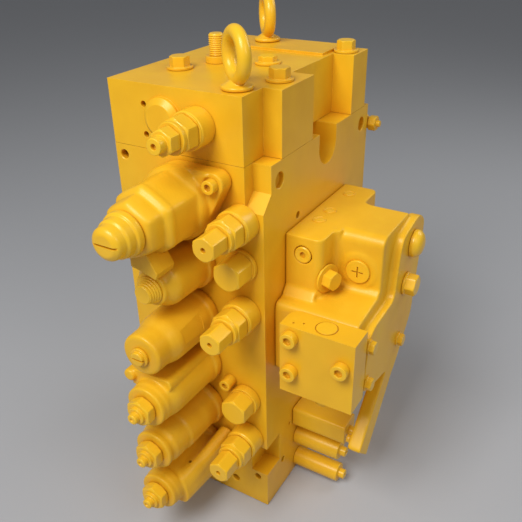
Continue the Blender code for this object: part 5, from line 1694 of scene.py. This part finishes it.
        parts.append(prism("arm_foot", foot, Axis.RIGHT, self.bar_right, self.arm_right))
        Casting(1.4).pour(item, parts, self.casting_cutters())
        self.shop.dress(item, Finish.CASTING, ("side_casting",))

    def build_cover(self) -> None:
        """Mill the cover block and its screws."""
        back = self.deck_front - GAP
        face = back - self.cover_deep
        plan = arc((self.cover_left + 12, back - 12), 12, 90, 180, 8)
        plan += [(self.cover_left, face), (self.cover_right, face), (self.cover_right, back)]
        item = prism("side_cover_block", plan, Axis.UP, self.cover_low, self.lip)
        middle = (self.cover_left + self.cover_right) / 2
        fitting = turned("fitting", (middle + 2, face + 17, self.cover_low), Axis.DOWN,
                         profile((-4, 10.5), (2, 10.5), (2, 8.5), (12, 8.5)), 0.4, 48)
        flush = (middle + 4, face + 15.5, self.lip)
        cutters = [rod("flush_groove", flush, Axis.UP, -1.2, 5, 12.0, 60)]
        for x, z in self.cover_screws:
            cutters.append(rod("cover_hole", (x, face, z), Axis.BACK, -4, 40, 5.3))
        for x, y in ((middle - 20, face + 12), (middle - 30, face + 8)):
            cutters.append(rod("pin_hole", (x, y, self.lip), Axis.DOWN, -4, 3, 1.3, 24))
        combine(item, [fitting], Operation.JOIN)
        Machining().mill(item, cutters)
        self.shop.dress(item, Finish.BODY, ("cover_block",))
        rings = profile((-5, 10.8), (0.6, 10.8, 0.5))
        self.shop.fit("flush_plug", flush, Axis.UP, rings, soft=0.3, segments=60)
        for number, (x, z) in enumerate(self.cover_screws, 1):
            SocketScrew(self.shop, f"cover_screw_{number}", (x, face - GAP, z), head=8.8, tall=9.0, shank=5.0,
                        length=48.7).build()

    def build_plugs(self) -> None:
        """Build the plugs of the casting."""
        rings = profile((-15, 9.5), (0, 9.5), (1.0, 8.4, 0.4), (0.4, 5.0))
        rings += [Ring(0.4, 3.4, Section.HEX), Ring(-3.2, 3.0, Section.HEX)]
        x, z = self.socket_at
        self.shop.fit("socket_plug_head", (x, self.front, z), Axis.FRONT, rings, ("socket_plug",), 0.3)
        x, z = self.cross_at
        face, reach, half = self.arm_front - GAP, 6.5, 0.8
        cutters = [block("level", (x - reach, face - 9, z - half), (x + reach, face - 2, z + half)),
                   block("upright", (x - half, face - 9, z - reach), (x + half, face - 2, z + reach))]
        rings = profile((-15, 11.5), (0, 11.5), (0, 13.5), (4, 13.5, 1.2))
        self.shop.fit("cross_plug_head", (x, face, z), Axis.FRONT, rings, ("cross_plug",), 0.6, cut=cutters)
        tilt = direction(self.tilt)
        seat = Vector((self.bar_right, *self.flanged_at)) + tilt * GAP
        rings = profile((-15, 8.0), (0, 8.0), (0, 16.2), (2.5, 16.2)) + hex_rings(2.5, 10.5, 19.0)
        self.shop.fit("flanged_plug_head", tuple(seat), tilt, rings, ("flanged_plug",), 0.6)
        rings = profile((-15, 10.0), (0, 10.0), (0, 16.0), (4.8, 16.0, 1.5), (9.6, 12.5, 3), (12, 6.4, 3))
        self.shop.fit("dome_plug_head", (self.end_right + GAP, *self.dome_at), Axis.RIGHT, rings,
                      ("dome_plug",), 0.8, angle=50)
        rings = profile((-15, 8.0), (0, 8.0), (0, 13.5), (2.5, 13.5)) + hex_rings(2.5, 11.5, 22.0)
        self.shop.fit("side_hex_plug_head", (self.end_right + GAP, *self.side_hex_at), Axis.RIGHT, rings,
                      ("side_hex_plug",), 0.6)

    def build(self) -> None:
        """Build the whole side block."""
        self.build_casting()
        self.build_details()
        self.build_cover()
        self.build_plugs()


@dataclass
class PilotCylinders:
    """Shuttle cylinders low on the right face: place (y, z), radius and length of each."""

    shop: Workshop
    cylinders: tuple[tuple[float, float, float, float], ...] = (
        (-48.0, 96.0, 16.0, 72.0), (-48.0, 56.5, 12.8, 62.0), (-48.0, 16.5, 12.2, 62.0))

    def build(self) -> None:
        """Build each cylinder with its end screw."""
        for number, (y, z, radius, length) in enumerate(self.cylinders, 1):
            end = profile((length - 3, 6.2), (length + 8, 6.2, 1.0), (length + 8, 2.6), (length + 6.5, 2.0))
            seat = (RIGHT + GAP, y, z)
            if number == 1:
                outline = rounded(((y - radius, z - 14), (y + radius, z - 14), (y + radius, z + radius),
                                   (y - radius, z + radius)), (8, 8, 5, 5))
                item = prism("shuttle_block_1", outline, Axis.RIGHT, seat[0], seat[0] + length)
                self.shop.fit("shuttle_screw_1", seat, Axis.RIGHT, end, soft=0.6)
                self.shop.dress(Machining(1.4).mill(item), Finish.FITTING, ("pilot_cylinder_1",))
                continue
            rings = profile((-16, 6.0), (0, 6.0), (0, radius), (length, radius, 1.2), (length, 6.2)) + end[1:]
            self.shop.fit(f"shuttle_cylinder_{number}", seat, Axis.RIGHT, rings,
                          (f"pilot_cylinder_{number}",), 0.6)


@dataclass
class Spools:
    """Ground spools and their springs, which stay as the frame has them."""

    shop: Workshop

    def build(self) -> None:
        """Give the spools and springs their steel finishes."""
        for number in range(1, len(SPOOL_ZS) + 1):
            self.shop.keep(f"spool_{number}", Finish.GROUND)
            self.shop.keep(f"spring_{number}", Finish.SPRING)


@dataclass
class Studio:
    """Pale floor, soft light and the camera of the photograph, in metres and degrees.

    Each lamp has a name, a place, its power over that of the key light and its size.
    """

    camera_at: Place = (0.3751, -0.6078, 0.6741)
    heading: float = 31.03
    dip: float = 29.52
    roll: float = -1.06
    lens: float = 44.14
    floor_level: float = -0.001
    world_strength: float = 0.21
    key_power: float = 29.0
    aim: Place = (0.0, 0.0, 0.3)
    lamps: tuple[tuple[str, Place, float, float], ...] = (
        ("key", (-0.05, -1.25, 1.75), 1.0, 0.9), ("fill", (1.3, -0.6, 1.3), 0.16, 0.8),
        ("rim", (0.9, 1.2, 1.3), 0.2, 0.8))
    floor_colour: Colour = (0.47, 0.475, 0.49)
    floor_half: float = 6.0

    def build_floor(self) -> None:
        """Lay the floor."""
        z = self.floor_level / MM
        half = self.floor_half / MM
        corners = [Vector((x, y, z)) for x, y in ((-half, -half), (half, -half), (half, half), (-half, half))]
        floor = make_object("studio_floor", corners, [(0, 1, 2, 3)])
        mat, _, shader = new_material("pale_floor")
        shader.inputs["Base Color"].default_value = (*self.floor_colour, 1.0)
        shader.inputs["Roughness"].default_value = 0.85
        floor.data.materials.append(mat)

    def build_lights(self) -> None:
        """Set the soft world light, the large key light above the front and two weaker ones."""
        world = bpy.data.worlds.new("soft_room")
        world.use_nodes = True
        sky = world.node_tree.nodes["Background"]
        sky.inputs["Color"].default_value = (0.86, 0.88, 0.92, 1.0)
        sky.inputs["Strength"].default_value = self.world_strength
        bpy.context.scene.world = world
        bpy.context.scene.view_settings.view_transform = "Standard"
        for name, at, share, size in self.lamps:
            light = bpy.data.lights.new(name, "AREA")
            light.energy = self.key_power * share
            light.size = size
            item = bpy.data.objects.new(name, light)
            item.location = at
            item.rotation_euler = (Vector(self.aim) - Vector(at)).to_track_quat("-Z", "Y").to_euler()
            bpy.context.scene.collection.objects.link(item)

    def build_camera(self) -> None:
        """Set the camera that was fitted to the edges of the body."""
        yaw, pitch, roll = (math.radians(v) for v in (self.heading, self.dip, self.roll))
        ahead = Vector((-math.sin(yaw) * math.cos(pitch), math.cos(yaw) * math.cos(pitch), -math.sin(pitch)))
        right = Vector((math.cos(yaw), math.sin(yaw), 0.0))
        up = right.cross(ahead)
        side = math.cos(roll) * right + math.sin(roll) * up
        crown = -math.sin(roll) * right + math.cos(roll) * up
        lens = bpy.data.cameras.new("photograph_view")
        lens.lens = self.lens
        lens.sensor_width = 36.0
        camera = bpy.data.objects.new("photograph_view", lens)
        turn = Matrix((side, crown, -ahead)).transposed().to_4x4()
        camera.matrix_world = Matrix.Translation(Vector(self.camera_at)) @ turn
        bpy.context.scene.collection.objects.link(camera)
        bpy.context.scene.camera = camera

    def build(self) -> None:
        """Build the studio."""
        self.build_floor()
        self.build_lights()
        self.build_camera()


def main() -> None:
    """Build every sub-assembly in order."""
    logging.basicConfig(level=logging.INFO, format="%(message)s")
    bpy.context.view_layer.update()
    shop = Workshop()
    assemblies = (Studio(), ValveBlock(shop), TopHardware(shop), ReliefValves(shop), FrontPlugs(shop),
                  SpringCaps(shop), Bonnet(shop), RearCover(shop), SideBlock(shop), PilotCylinders(shop),
                  Spools(shop))
    for assembly in assemblies:
        assembly.build()
        LOG.info("built %s", type(assembly).__name__)


if __name__ == "__main__":
    main()
